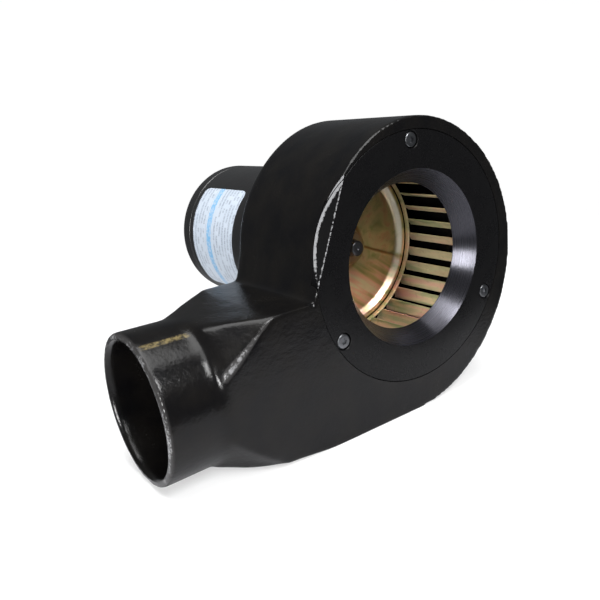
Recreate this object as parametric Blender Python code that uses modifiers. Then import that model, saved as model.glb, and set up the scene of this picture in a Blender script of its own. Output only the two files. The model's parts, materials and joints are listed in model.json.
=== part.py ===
"""Centrifugal blower: scroll housing, inlet cover, blower wheel and the motor that turns it.

The shaft runs along +Y, away from the inlet. The origin is where the shaft's axis meets the
inlet face. +Z is up, and the outlet tube points along -X.
"""
import math

import bmesh
import bpy
from mathutils import Matrix, Vector

MM = 0.001
GAP = 0.3 * MM                      # clearance between pieces that touch
WELD = 0.001 * MM                   # merge distance for points that coincide
PAST = 1 * MM                       # how far a cutter runs past what it cuts

# Scroll housing. Radii of the scroll every 45 degrees, clockwise from the tongue.
SCROLL_RADII = [r * MM for r in (55.6, 58.2, 62.9, 63.3, 65.1, 68.4, 73.1)]
SCROLL_STEP = math.radians(45)
SCROLL_STEPS = 32                   # straight pieces that the scroll is drawn with
DEPTH = 67.0 * MM
WALL = 3.2 * MM
FRONT_WALL = 7.0 * MM
REAR_WALL = 3.5 * MM
FRONT_EDGE = 1.4 * MM               # rounding of the front edge
REAR_EDGE = 5.5 * MM                # rounding of the rear edge
DUCT_CENTRE = Vector((0, DEPTH / 2, -39.5 * MM))
DUCT_HALF = 33.6 * MM               # half the height of the square duct
DUCT_END = -105.0 * MM              # where the duct meets the outlet tube
TAPER_START = -80.0 * MM            # from here the duct's top and bottom close in on the tube
DUCT_END_HALF = 32.3 * MM
# The duct's four corners are cut by sloping facets. Each has the x where it begins and its
# distance from the tube's axis where the duct ends.
FACETS = {
    ("front", "top"): (-80.0 * MM, 34.3 * MM), ("front", "low"): (-79.0 * MM, 31.6 * MM),
    ("rear", "top"): (-72.0 * MM, 30.6 * MM), ("rear", "low"): (-72.0 * MM, 31.6 * MM)}
TONGUE_X = -59.5 * MM               # start of the fillet between the duct and the scroll
TONGUE_ANGLE = math.radians(172)    # its end on the scroll
FACET_BLOCK = (70 * MM, 60 * MM, 16 * MM)

# Outlet tube
OUTLET_X = -130.0 * MM
TUBE_RADIUS = 32.7 * MM
TUBE_ROOT_RADIUS = 32.2 * MM
BORE_RADIUS = 28.5 * MM
BORE_ROOT_RADIUS = 27.9 * MM
RIM_ROUND = 1.5 * MM
TUBE_OVERLAP = 8.0 * MM             # how far the tube reaches into the duct's end wall

# Inlet cover
COVER_RADIUS = 57.2 * MM
FLANGE = 4.0 * MM
PLUG_RADIUS = 50.0 * MM
PLUG_DEPTH = 6.5 * MM
BEVEL_RADIUS = 40.5 * MM
INLET_RADIUS = 33.8 * MM
INLET_DEPTH = 9.8 * MM
THROAT_ROOT = 43.8 * MM             # outside of the inlet's throat where it leaves the plug
THROAT_END = 37.8 * MM
OPENING_RADIUS = PLUG_RADIUS + GAP
SCREW_PITCH = 53.0 * MM
SCREW_ANGLES = (90, -30, -150)
COVER_SCREW = 1.9 * MM              # radius of the cover's M4 screws
COVER_SCREW_HEAD = 3.4 * MM
COVER_SCREW_HEAD_HEIGHT = 2.0 * MM
COVER_SCREW_RECESS = 0.2 * MM       # how far the heads lie below the cover's face
COUNTERBORE_RADIUS = 3.8 * MM
COUNTERBORE_DEPTH = 2.5 * MM
COVER_SCREW_END = 9.0 * MM
FLAT_DISTANCE = 52.45 * MM          # the ground flat's line on the face, from the shaft's axis
FLAT_ANGLE = math.radians(157)
FLAT_SLOPE = 1.25                   # how far the flat runs out per depth

# Blower wheel
BLADES = 36
BLADE_INNER = 44.4 * MM
BLADE_OUTER = 49.3 * MM
BLADE_SHEET = 0.8 * MM
BLADE_LEAN = math.radians(5.2)      # forward sweep of a blade's tip
BLADE_CURVE = 1.3                   # over 1, the blade bends further round towards its tip
WHEEL_FRONT = 11.2 * MM
HEM_INNER = 44.2 * MM
HEM_OUTER = 50.1 * MM
HEM_SHEET = 1.0 * MM
HEM_DEPTH = 4.0 * MM
STRIP_RIM = 1.2 * MM
PLATE_DEPTH = 51.9 * MM             # front of the back plate's outer ring
PLATE_DISH = 2.3 * MM
PLATE_SHEET = 1.0 * MM
PLATE_RADIUS = 49.6 * MM
# The plate's step from its dish to its outer ring: each radius, and the share of the dish there.
PLATE_STEP = ((36.6 * MM, 1.0), (38.5 * MM, 0.5), (40.6 * MM, 0.0))
HUB_RADIUS = 8.5 * MM
HUB_FRONT = 46.0 * MM
HUB_REAR = 61.9 * MM
HUB_FLANGE_RADIUS = 12.5 * MM
SET_SCREW_RADIUS = 1.5 * MM

# Motor
SHAFT_RADIUS = 4.0 * MM
SHAFT_FRONT = 41.2 * MM
SHOULDER_RADIUS = 5.0 * MM
MOTOR_RADIUS = 39.4 * MM
SHELL_WALL = 2.4 * MM
SHELL_FRONT = 72.0 * MM
SHELL_REAR = 149.5 * MM
MOTOR_REAR = 159.4 * MM
BELL_FRONT = DEPTH + GAP
BOSS_RADIUS = 14.0 * MM
BOSS_FRONT = 62.6 * MM
BELL_PLATE_REAR = 71.2 * MM
SHAFT_HOLE = 5.2 * MM
SPIGOT_LENGTH = 4.0 * MM            # how far the bell reaches into the shell
CAP_EDGE = 3.0 * MM                 # rounding of the rear cap
CAP_FLOOR = 3.9 * MM
WASHER_ROOM = 1.6 * MM              # room for the wave washer behind the rear bearing
WASHER = (8.6 * MM, 10.8 * MM, 0.8 * MM)
MOTOR_SCREW_PITCH = 24.0 * MM
MOTOR_SCREW = 2.0 * MM
MOTOR_SCREW_HOLE = 2.5 * MM
MOTOR_SCREW_HEAD = 4.0 * MM
MOTOR_SCREW_HEAD_HEIGHT = 3.0 * MM
MOTOR_SCREW_END = 74.0 * MM
BOLT_PITCH = 33.0 * MM
BOLT_RADIUS = 1.9 * MM
BOLT_HEAD = 3.2 * MM
BOLT_COUNTERBORE = 3.6 * MM
BOLT_COUNTERBORE_DEPTH = 3.3 * MM
BOLT_RECESS = 0.4 * MM              # how far the bolt heads lie below the cap's face
BOLT_HOLE = 2.3 * MM
BOLT_THREAD_START = 69.3 * MM
BOLT_END = 71.0 * MM
BOLT_LAND = 3.8 * MM                # metal of the spigots inside the bolts' centres
CABLE_DEPTH = 141.0 * MM
CABLE_RADIUS = 2.5 * MM
GROMMET_NECK = 4.5 * MM
GROMMET_LIP = 6.5 * MM
CORE_FRONT = 90.0 * MM
CORE_REAR = 136.0 * MM
STATOR_RADIUS = 36.7 * MM
STATOR_BORE = 18.5 * MM
ROTOR_RADIUS = 18.0 * MM
SLOTS = 12
SLOT_INNER = 20.6 * MM
SLOT_OUTER = 28.4 * MM
WINDING_INNER = 20.2 * MM
WINDING_OUTER = 29.2 * MM
WINDING_FRONT = 79.5 * MM
WINDING_REAR = 145.6 * MM

LABEL_ANGLES = (math.radians(130), math.radians(220))
LABEL_DEPTHS = (99.5 * MM, 144.5 * MM)
LABEL_THICKNESS = 0.2 * MM

# Ball bearings, 8 x 22 x 7
BEARING_RADIUS = 11.0 * MM
BEARING_WIDTH = 7.0 * MM
BALL_RADIUS = 1.98 * MM
BALL_PITCH = 7.65 * MM
BALLS = 7
INNER_LAND = 6.2 * MM
OUTER_LAND = 9.1 * MM
CAGE_INNER = 6.8 * MM
CAGE_OUTER = 8.4 * MM
CAGE_HALF_WIDTH = 2.7 * MM
FRONT_BEARING = 69.8 * MM
REAR_BEARING = 146.8 * MM

FINE = 48                           # segments of the large turned pieces
MOTOR_SIDES = 36
CAP_STEPS = 3
MEDIUM = 24
SMALL = 12
HOLE = 8
CUTTER_SPIN = math.radians(7)       # keeps a cutter's corners off the corners of what it cuts
DOMED = 0.65                        # share of a screw head's radius that is flat
FLAT_HEAD = 0.9


def remove_old_objects():
    for old in list(bpy.data.objects):
        bpy.data.objects.remove(old, do_unlink=True)


def collection(name):
    new = bpy.data.collections.new(name)
    bpy.context.scene.collection.children.link(new)
    return new


def material(name, colour, roughness, metallic):
    new = bpy.data.materials.new(name)
    new.use_nodes = True
    shader = new.node_tree.nodes["Principled BSDF"]
    shader.inputs["Base Color"].default_value = (*colour, 1)
    shader.inputs["Roughness"].default_value = roughness
    shader.inputs["Metallic"].default_value = metallic
    return new


def pivot(name):
    empty = bpy.data.objects.new(name, None)
    PARTS.objects.link(empty)
    return empty


def place(name, mesh, group):
    obj = bpy.data.objects.new(name, mesh)
    group.objects.link(obj)
    return obj


def as_cutter(obj):
    obj.hide_render = True
    obj.display_type = "WIRE"
    return obj


def smooth_by_angle(limit):
    """Geometry nodes that shade a shape smooth, except across edges sharper than the limit."""
    group = bpy.data.node_groups.new("smooth_by_angle", "GeometryNodeTree")
    for direction in ("INPUT", "OUTPUT"):
        group.interface.new_socket("Geometry", in_out=direction, socket_type="NodeSocketGeometry")
    nodes = group.nodes
    angle = nodes.new("GeometryNodeInputMeshEdgeAngle")
    below = nodes.new("FunctionNodeCompare")
    below.operation = "LESS_THAN"
    below.inputs["B"].default_value = limit
    group.links.new(angle.outputs["Unsigned Angle"], below.inputs["A"])
    flow = nodes.new("NodeGroupInput").outputs["Geometry"]
    for domain in ("FACE", "EDGE"):
        shade = nodes.new("GeometryNodeSetShadeSmooth")
        shade.domain = domain
        group.links.new(flow, shade.inputs["Geometry"])
        flow = shade.outputs["Geometry"]
    group.links.new(below.outputs["Result"], shade.inputs["Shade Smooth"])
    group.links.new(flow, nodes.new("NodeGroupOutput").inputs["Geometry"])
    return group


def finish(obj, finish_material, parent=None):
    """Give a part its material and its shading, and hang it on its empty."""
    obj.data.materials.clear()
    obj.data.materials.append(finish_material)
    obj.modifiers.new("Smooth by angle", "NODES").node_group = SMOOTH_BY_ANGLE
    obj.parent = parent
    return obj


def boolean(obj, other, operation="DIFFERENCE"):
    modifier = obj.modifiers.new(operation.title(), "BOOLEAN")
    modifier.operation = operation
    modifier.object = other
    modifier.solver = "EXACT"


def polar(radius, angle):
    return radius * math.cos(angle), radius * math.sin(angle)


def turned(name, profile, segments, group=None, axis="Y", location=(0, 0, 0), spin=0):
    """Revolve (radius, distance along the axis) points with a Screw modifier."""
    points = list(profile)
    area = sum(a[0] * b[1] - b[0] * a[1] for a, b in zip(points, points[1:] + points[:1]))
    if area > 0:
        points.reverse()
    solid_core = any(radius == 0 for radius, _ in points)
    if solid_core:
        while not (points[0][0] == 0 and points[-1][0] == 0):
            points = points[1:] + points[:1]
    count = len(points)
    edges = [(i, (i + 1) % count) for i in range(count - 1 if solid_core else count)]
    mesh = bpy.data.meshes.new(name)
    mesh.from_pydata([(radius, 0, along) for radius, along in points], edges, [])
    obj = place(name, mesh, group or PARTS)
    obj.location = location
    turn = {"Y": Matrix.Rotation(-math.pi / 2, 4, "X"), "X": Matrix.Rotation(math.pi / 2, 4, "Y"),
            "-X": Matrix.Rotation(-math.pi / 2, 4, "Y")}[axis]
    obj.rotation_euler = (turn @ Matrix.Rotation(spin, 4, "Z")).to_euler()
    screw = obj.modifiers.new("Turn", "SCREW")
    screw.axis = "Z"
    screw.steps = segments
    screw.render_steps = segments
    screw.use_merge_vertices = True
    screw.merge_threshold = WELD
    return obj


def cutter(name, profile, segments=MEDIUM, axis="Y", location=(0, 0, 0)):
    return as_cutter(turned(name, profile, segments, CUTTERS, axis, location, CUTTER_SPIN))


def rod(radius, start, end):
    """Profile of a plain cylinder."""
    return [(0, start), (radius, start), (radius, end), (0, end)]


def ring(inner, outer, start, end):
    """Profile of a plain ring."""
    return [(inner, start), (outer, start), (outer, end), (inner, end)]


def cover_screw_places():
    return [polar(SCREW_PITCH, math.radians(angle)) for angle in SCREW_ANGLES]


def motor_screw_places():
    return [polar(MOTOR_SCREW_PITCH, math.radians(90 * k)) for k in range(4)]


def tie_bolt_places():
    return [polar(BOLT_PITCH, math.radians(45 + 90 * k)) for k in range(4)]


def counterbored(wide, narrow, opening, seat, end):
    """Profile of a hole that is wide from its opening to a seat, and narrow from there on."""
    return [(0, opening), (wide, opening), (wide, seat), (narrow, seat), (narrow, end), (0, end)]


def bored(obj, prefix, places, profile):
    """Round holes along Y through an object, one at each (x, z) place."""
    for index, (x, z) in enumerate(places, 1):
        boolean(obj, cutter(f"{prefix}_{index}", profile, HOLE, location=(x, 0, z)))


def evaluated_mesh(obj):
    bpy.context.view_layer.update()
    graph = bpy.context.evaluated_depsgraph_get()
    return bpy.data.meshes.new_from_object(obj.evaluated_get(graph))


def prism(name, outline, front, rear, group=None):
    """Extrude an (x, z) outline from one depth to another, as one welded mesh."""
    curve = bpy.data.curves.new(name, "CURVE")
    curve.dimensions = "2D"
    curve.fill_mode = "BOTH"
    curve.extrude = (rear - front) / 2
    spline = curve.splines.new("POLY")
    spline.points.add(len(outline) - 1)
    for point, (x, z) in zip(spline.points, outline):
        point.co = (x, z, 0, 1)
    spline.use_cyclic_u = True
    shape = place(name + "_outline", curve, group or PARTS)
    shape.location = (0, (front + rear) / 2, 0)
    shape.rotation_euler = (math.pi / 2, 0, 0)
    mesh = evaluated_mesh(shape)
    mesh.name = name
    body = bmesh.new()
    body.from_mesh(mesh)
    bmesh.ops.remove_doubles(body, verts=body.verts, dist=WELD)
    bmesh.ops.dissolve_limit(body, angle_limit=math.radians(0.1), verts=body.verts, edges=body.edges)
    bmesh.ops.recalc_face_normals(body, faces=body.faces)
    body.to_mesh(mesh)
    body.free()
    obj = place(name, mesh, group or PARTS)
    obj.matrix_world = shape.matrix_world
    bpy.data.objects.remove(shape, do_unlink=True)
    return obj


def repeated_about_shaft(name, obj, count, group):
    """One object that holds evenly turned copies of a shape."""
    shape = evaluated_mesh(obj)
    shape.transform(obj.matrix_world)
    body = bmesh.new()
    for index in range(count):
        known = len(body.verts)
        body.from_mesh(shape)
        body.verts.ensure_lookup_table()
        turn = Matrix.Rotation(2 * math.pi * index / count, 4, "Y")
        bmesh.ops.transform(body, matrix=turn, verts=body.verts[known:])
    mesh = bpy.data.meshes.new(name)
    body.to_mesh(mesh)
    body.free()
    bpy.data.objects.remove(obj, do_unlink=True)
    return place(name, mesh, group)


def scroll_radius(angle):
    """Radius of the scroll, by a smooth curve through its 45-degree radii."""
    last = len(SCROLL_RADII) - 1
    along = min(max((math.pi - angle) / SCROLL_STEP, 0), last)
    index = min(int(along), last - 1)
    part = along - index
    p0, p1, p2, p3 = (SCROLL_RADII[min(max(index + k, 0), last)] for k in (-1, 0, 1, 2))
    bend = 2 * p0 - 5 * p1 + 4 * p2 - p3
    twist = 3 * (p1 - p2) + p3 - p0
    return p1 + 0.5 * part * (p2 - p0 + part * (bend + part * twist))


def scroll_outline(inset, end):
    """Scroll and duct as seen from the inlet, moved inwards by the inset."""
    top = DUCT_CENTRE.z + DUCT_HALF - inset
    bottom = DUCT_CENTRE.z - DUCT_HALF + inset
    end_top = DUCT_CENTRE.z + DUCT_END_HALF - inset
    end_bottom = DUCT_CENTRE.z - DUCT_END_HALF + inset
    first = TONGUE_ANGLE if inset == 0 else math.pi + math.asin(-top / (SCROLL_RADII[0] - inset))
    outline = []
    for step in range(SCROLL_STEPS + 1):
        angle = first + (math.radians(-90) - first) * step / SCROLL_STEPS
        x, z = polar(scroll_radius(angle) - inset, angle)
        outline.append((x, max(z, bottom)))
    outline += [(TAPER_START, bottom), (end, end_bottom), (end, end_top), (TAPER_START, top)]
    if inset == 0:
        outline.append((TONGUE_X, top))
    return outline


def facet_cutter(name, sides, inset):
    """Block that cuts one long corner of the duct along its sloping facet."""
    start, end_radius = FACETS[sides]
    diagonal = Vector((0, -1 if "front" in sides else 1, 1 if "top" in sides else -1)).normalized()
    slope = (DUCT_HALF * math.sqrt(2) - end_radius) / (start - DUCT_END)
    normal = (diagonal - Vector((slope, 0, 0))).normalized()
    along = (Vector((1, 0, 0)) - normal * normal.x).normalized()
    across = normal.cross(along)
    length, width, height = FACET_BLOCK
    middle_x = start - length / 2 * along.x + PAST
    reach = DUCT_HALF * math.sqrt(2) + slope * (middle_x - start)
    centre = DUCT_CENTRE + Vector((middle_x, 0, 0)) + diagonal * reach
    centre += normal * (height / 2 - inset)
    body = bmesh.new()
    bmesh.ops.create_cube(body, size=1)
    mesh = bpy.data.meshes.new(name)
    body.to_mesh(mesh)
    body.free()
    mesh.transform(Matrix.Diagonal((length, width, height, 1)))
    block = as_cutter(place(name, mesh, CUTTERS))
    block.matrix_world = Matrix((along, across, normal)).transposed().to_4x4()
    block.location = centre
    return block


def scroll_body(name, inset, front, rear, end, group):
    """Scroll with its duct, whose corners turn from a square into an octagon."""
    body = prism(name, scroll_outline(inset, end), front, rear, group)
    if inset == 0:
        round_rims(body, front, rear)
    for sides in FACETS:
        boolean(body, facet_cutter("_".join((name, *sides)), sides, inset))
    return body


def round_rims(obj, front, rear):
    """Bevel the front and the rear rim of a prism, the rear one with the larger radius."""
    mesh = obj.data
    weights = mesh.attributes.new("bevel_weight_edge", "FLOAT", "EDGE")
    heights = [(obj.matrix_world @ vertex.co).y for vertex in mesh.vertices]
    for edge in mesh.edges:
        ends = [heights[index] for index in edge.vertices]
        if all(abs(height - front) < WELD for height in ends):
            weights.data[edge.index].value = FRONT_EDGE / REAR_EDGE
        elif all(abs(height - rear) < WELD for height in ends):
            weights.data[edge.index].value = 1
    bevel = obj.modifiers.new("Rims", "BEVEL")
    bevel.limit_method = "WEIGHT"
    bevel.width = REAR_EDGE
    bevel.segments = 2


def ground_flat(name):
    """Block that grinds the sloping flat on the cover's edge."""
    outward = Vector((math.cos(FLAT_ANGLE), 0, math.sin(FLAT_ANGLE)))
    normal = (outward - Vector((0, FLAT_SLOPE, 0))).normalized()
    up = Vector((-math.sin(FLAT_ANGLE), 0, math.cos(FLAT_ANGLE)))
    across = normal.cross(up)
    size = 60 * MM
    body = bmesh.new()
    bmesh.ops.create_cube(body, size=size)
    mesh = bpy.data.meshes.new(name)
    body.to_mesh(mesh)
    body.free()
    block = as_cutter(place(name, mesh, CUTTERS))
    block.matrix_world = Matrix((up, across, normal)).transposed().to_4x4()
    block.location = outward * FLAT_DISTANCE + normal * size / 2
    return block


def volute_housing():
    """One casting: scroll and duct hollowed out, outlet tube, cover seat and screw holes."""
    housing = scroll_body("volute_housing", 0, 0, DEPTH, DUCT_END, PARTS)
    root, end = -DUCT_END, -OUTLET_X
    tube_profile = [
        (0, root - TUBE_OVERLAP), (TUBE_ROOT_RADIUS, root - TUBE_OVERLAP), (TUBE_RADIUS, end - RIM_ROUND),
        (TUBE_RADIUS - RIM_ROUND * 0.3, end - RIM_ROUND * 0.3), (TUBE_RADIUS - RIM_ROUND, end), (0, end)]
    tube = turned("outlet_tube", tube_profile, FINE, CUTTERS, "-X", DUCT_CENTRE)
    boolean(housing, as_cutter(tube), "UNION")
    cavity = scroll_body("cavity", WALL, FRONT_WALL, DEPTH - REAR_WALL, DUCT_END + WALL, CUTTERS)
    bore_start = root - TUBE_OVERLAP - WALL
    bore_profile = [
        (0, bore_start), (BORE_ROOT_RADIUS, bore_start), (BORE_RADIUS, end - RIM_ROUND),
        (BORE_RADIUS + RIM_ROUND * 1.6, end + RIM_ROUND), (0, end + RIM_ROUND)]
    bore = cutter("outlet_bore", bore_profile, FINE, "-X", DUCT_CENTRE)
    seat = COVER_RADIUS + GAP
    opening = cutter("cover_seat", [
        (0, -PAST), (seat, -PAST), (seat, FLANGE + GAP), (OPENING_RADIUS, FLANGE + GAP),
        (OPENING_RADIUS, FRONT_WALL + PAST), (0, FRONT_WALL + PAST)], FINE)
    rear_start = DEPTH - REAR_WALL - PAST
    spigot = cutter("motor_spigot_hole", rod(BOSS_RADIUS + GAP, rear_start, DEPTH + PAST))
    for tool in (as_cutter(cavity), bore, opening, spigot, ground_flat("housing_flat")):
        boolean(housing, tool)
    thread = rod(COVER_SCREW + GAP, FLANGE - PAST, FRONT_WALL + PAST)
    bored(housing, "cover_thread", cover_screw_places(), thread)
    bored(housing, "motor_screw_hole", motor_screw_places(), rod(MOTOR_SCREW_HOLE, rear_start, DEPTH + PAST))
    return finish(housing, CAST_BLACK)


def inlet_cover():
    """Turned disc with a flange, a plug that centres it, and the bevelled inlet."""
    profile = [
        (BEVEL_RADIUS, 0), (COVER_RADIUS, 0), (COVER_RADIUS, FLANGE), (PLUG_RADIUS, FLANGE),
        (PLUG_RADIUS, PLUG_DEPTH), (THROAT_ROOT, PLUG_DEPTH), (THROAT_END, INLET_DEPTH),
        (INLET_RADIUS, INLET_DEPTH)]
    cover = turned("inlet_cover", profile, FINE)
    hole = counterbored(COUNTERBORE_RADIUS, COVER_SCREW + GAP, -PAST, COUNTERBORE_DEPTH, FLANGE + PAST)
    bored(cover, "cover_hole", cover_screw_places(), hole)
    boolean(cover, ground_flat("cover_flat"))
    return finish(cover, COVER_BLACK)


def socket_screw(name, centre, head, shank, crown):
    """Screw along +Y with a hexagon socket; the crown is the flat part of its head."""
    front, head_radius, height = head
    shank_radius, shank_end = shank
    point = 0.5 * MM
    profile = [
        (0, front), (head_radius * crown, front), (head_radius * 0.97, front + height * 0.55),
        (head_radius, front + height), (shank_radius, front + height),
        (shank_radius, shank_end - point), (shank_radius - point, shank_end), (0, shank_end)]
    location = (centre[0], 0, centre[1])
    screw = turned(name, profile, SMALL, location=location)
    socket = rod(head_radius * 0.4, front - PAST, front + height * 0.6)
    boolean(screw, cutter(name + "_socket", socket, 6, location=location))
    return finish(screw, ZINC_STEEL)


def cover_screws():
    head = (COVER_SCREW_RECESS, COVER_SCREW_HEAD, COVER_SCREW_HEAD_HEIGHT)
    for index, centre in enumerate(cover_screw_places(), 1):
        socket_screw(f"cover_screw_{index}", centre, head, (COVER_SCREW, COVER_SCREW_END), DOMED)


def blade_outline():
    """One forward-curved blade, seen from the inlet."""
    steps = 2
    edge = BLADE_SHEET / 2
    centre_line = []
    for step in range(steps + 1):
        part = step / steps
        radius = BLADE_INNER + edge + (BLADE_OUTER - BLADE_INNER - 2 * edge) * part
        centre_line.append(Vector(polar(radius, -BLADE_LEAN * part ** BLADE_CURVE)))
    sides = []
    for side in (1, -1):
        line = []
        for index, point in enumerate(centre_line):
            before = centre_line[max(index - 1, 0)]
            after = centre_line[min(index + 1, steps)]
            run = (after - before).normalized()
            line.append(tuple(point + side * BLADE_SHEET / 2 * Vector((-run.y, run.x))))
        sides.append(line)
    return sides[0] + sides[1][::-1]


def wheel_blade_cage(rotor):
    """Punched strip: 36 blades between a front and a rear rim."""
    front = WHEEL_FRONT + HEM_SHEET + GAP
    rear = PLATE_DEPTH - GAP
    cage = turned("wheel_blade_cage", ring(BLADE_INNER, BLADE_OUTER, rear - STRIP_RIM, rear), BLADES)
    rim = as_cutter(turned("strip_front_rim", ring(BLADE_INNER, BLADE_OUTER, front, front + STRIP_RIM),
                           BLADES, CUTTERS))
    overlap = STRIP_RIM / 2
    blade = prism("blade", blade_outline(), front + overlap, rear - overlap, CUTTERS)
    blades = as_cutter(repeated_about_shaft("blades", blade, BLADES, CUTTERS))
    boolean(cage, blades, "UNION")
    boolean(cage, rim, "UNION")
    return finish(cage, YELLOW_ZINC, rotor)


def wheel_front_hem(rotor):
    """Rolled ring round the front edge of the blade strip."""
    lip = WHEEL_FRONT + HEM_DEPTH
    inner = BLADE_OUTER + GAP
    profile = [
        (HEM_INNER, WHEEL_FRONT), (HEM_OUTER, WHEEL_FRONT), (HEM_OUTER, lip), (inner, lip),
        (inner, WHEEL_FRONT + HEM_SHEET), (HEM_INNER, WHEEL_FRONT + HEM_SHEET)]
    return finish(turned("wheel_front_hem", profile, BLADES), YELLOW_ZINC, rotor)


def wheel_back_plate(rotor):
    """Pressed plate: an outer ring, a rounded step, and a dish that holds the hub."""
    step = [(radius, PLATE_DEPTH + PLATE_DISH * part) for radius, part in PLATE_STEP]
    front = [(HUB_RADIUS + GAP, PLATE_DEPTH + PLATE_DISH)] + step + [(PLATE_RADIUS, PLATE_DEPTH)]
    rear = [(radius, along + PLATE_SHEET) for radius, along in front]
    plate = turned("wheel_back_plate", front + rear[::-1], BLADES)
    return finish(plate, YELLOW_ZINC, rotor)


def wheel_hub(rotor):
    flange_front = PLATE_DEPTH + PLATE_DISH + PLATE_SHEET + GAP
    flange_rear = flange_front + 2 * MM
    bore = SHAFT_RADIUS + GAP
    chamfer = 0.6 * MM
    profile = [
        (bore, HUB_FRONT), (HUB_RADIUS - chamfer, HUB_FRONT), (HUB_RADIUS, HUB_FRONT + chamfer),
        (HUB_RADIUS, flange_front), (HUB_FLANGE_RADIUS, flange_front), (HUB_FLANGE_RADIUS, flange_rear),
        (HUB_RADIUS, flange_rear), (HUB_RADIUS, HUB_REAR), (bore, HUB_REAR)]
    hub = turned("wheel_hub", profile, MEDIUM)
    middle = (flange_rear + HUB_REAR) / 2
    hole = rod(SET_SCREW_RADIUS + GAP, SHAFT_RADIUS - 0.5 * MM, HUB_RADIUS + PAST)
    body = rod(SET_SCREW_RADIUS, SHAFT_RADIUS + GAP, HUB_RADIUS - 0.4 * MM)
    socket = rod(SET_SCREW_RADIUS * 0.5, HUB_RADIUS - 2 * MM, HUB_RADIUS + PAST)
    for index, axis in enumerate(("X", "-X"), 1):
        boolean(hub, cutter(f"set_screw_hole_{index}", hole, SMALL, axis, (0, middle, 0)))
        screw = turned(f"hub_set_screw_{index}", body, SMALL, PARTS, axis, (0, middle, 0))
        boolean(screw, cutter(f"set_screw_socket_{index}", socket, 6, axis, (0, middle, 0)))
        finish(screw, DARK_STEEL, rotor)
    return finish(hub, YELLOW_ZINC, rotor)


def motor_shaft(rotor):
    end = REAR_BEARING + BEARING_WIDTH + 0.4 * MM
    shoulder_front = FRONT_BEARING + BEARING_WIDTH + GAP
    shoulder_rear = REAR_BEARING - GAP
    profile = [
        (0, SHAFT_FRONT), (SHAFT_RADIUS - 0.6 * MM, SHAFT_FRONT), (SHAFT_RADIUS, SHAFT_FRONT + 0.6 * MM),
        (SHAFT_RADIUS, shoulder_front), (SHOULDER_RADIUS, shoulder_front), (SHOULDER_RADIUS, shoulder_rear),
        (SHAFT_RADIUS, shoulder_rear), (SHAFT_RADIUS, end), (0, end)]
    return finish(turned("motor_shaft", profile, MEDIUM), STEEL, rotor)


def motor_front_bell():
    """Cast end of the motor: its boss holds the front bearing and centres the motor."""
    bore = BEARING_RADIUS + GAP
    seat = FRONT_BEARING - GAP
    seat_rear = FRONT_BEARING + BEARING_WIDTH
    spigot = MOTOR_RADIUS - SHELL_WALL - GAP
    spigot_rear = SHELL_FRONT + SPIGOT_LENGTH
    inner = BOLT_PITCH - BOLT_LAND
    profile = [
        (SHAFT_HOLE, BOSS_FRONT), (BOSS_RADIUS, BOSS_FRONT), (BOSS_RADIUS, BELL_FRONT),
        (MOTOR_RADIUS, BELL_FRONT), (MOTOR_RADIUS, SHELL_FRONT - GAP), (spigot, SHELL_FRONT - GAP),
        (spigot, spigot_rear), (inner, spigot_rear), (inner, BELL_PLATE_REAR),
        (BOSS_RADIUS, BELL_PLATE_REAR), (BOSS_RADIUS, seat_rear), (bore, seat_rear), (bore, seat),
        (SHAFT_HOLE, seat)]
    bell = turned("motor_front_bell", profile, MOTOR_SIDES)
    thread = rod(MOTOR_SCREW + GAP, BELL_FRONT - PAST, BELL_PLATE_REAR + PAST)
    bored(bell, "bell_thread", motor_screw_places(), thread)
    bored(bell, "bolt_thread", tie_bolt_places(), rod(BOLT_HOLE, BOLT_THREAD_START, spigot_rear + PAST))
    return finish(bell, BELL_GREY)


def motor_screws():
    head_front = DEPTH - REAR_WALL - GAP - MOTOR_SCREW_HEAD_HEIGHT
    head = (head_front, MOTOR_SCREW_HEAD, MOTOR_SCREW_HEAD_HEIGHT)
    for index, centre in enumerate(motor_screw_places(), 1):
        socket_screw(f"motor_screw_{index}", centre, head, (MOTOR_SCREW, MOTOR_SCREW_END), FLAT_HEAD)


def motor_shell():
    inner = MOTOR_RADIUS - SHELL_WALL
    shell = turned("motor_shell", ring(inner, MOTOR_RADIUS, SHELL_FRONT, SHELL_REAR), MOTOR_SIDES)
    hole = rod(GROMMET_NECK + GAP, inner - 3 * PAST, MOTOR_RADIUS + 3 * PAST)
    boolean(shell, cutter("cable_hole", hole, SMALL, "X", (0, CABLE_DEPTH, 0)))
    return finish(shell, PAINT_BLACK)


def cable_grommet():
    inside = MOTOR_RADIUS - SHELL_WALL - 1 * MM
    seat = MOTOR_RADIUS + GAP
    profile = [
        (CABLE_RADIUS, inside), (GROMMET_NECK, inside), (GROMMET_NECK, seat), (GROMMET_LIP, seat),
        (GROMMET_LIP - 0.3 * MM, seat + 1.3 * MM), (CABLE_RADIUS, seat + 1.9 * MM)]
    grommet = turned("cable_grommet", profile, SMALL, PARTS, "X", (0, CABLE_DEPTH, 0))
    return finish(grommet, RUBBER)


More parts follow.
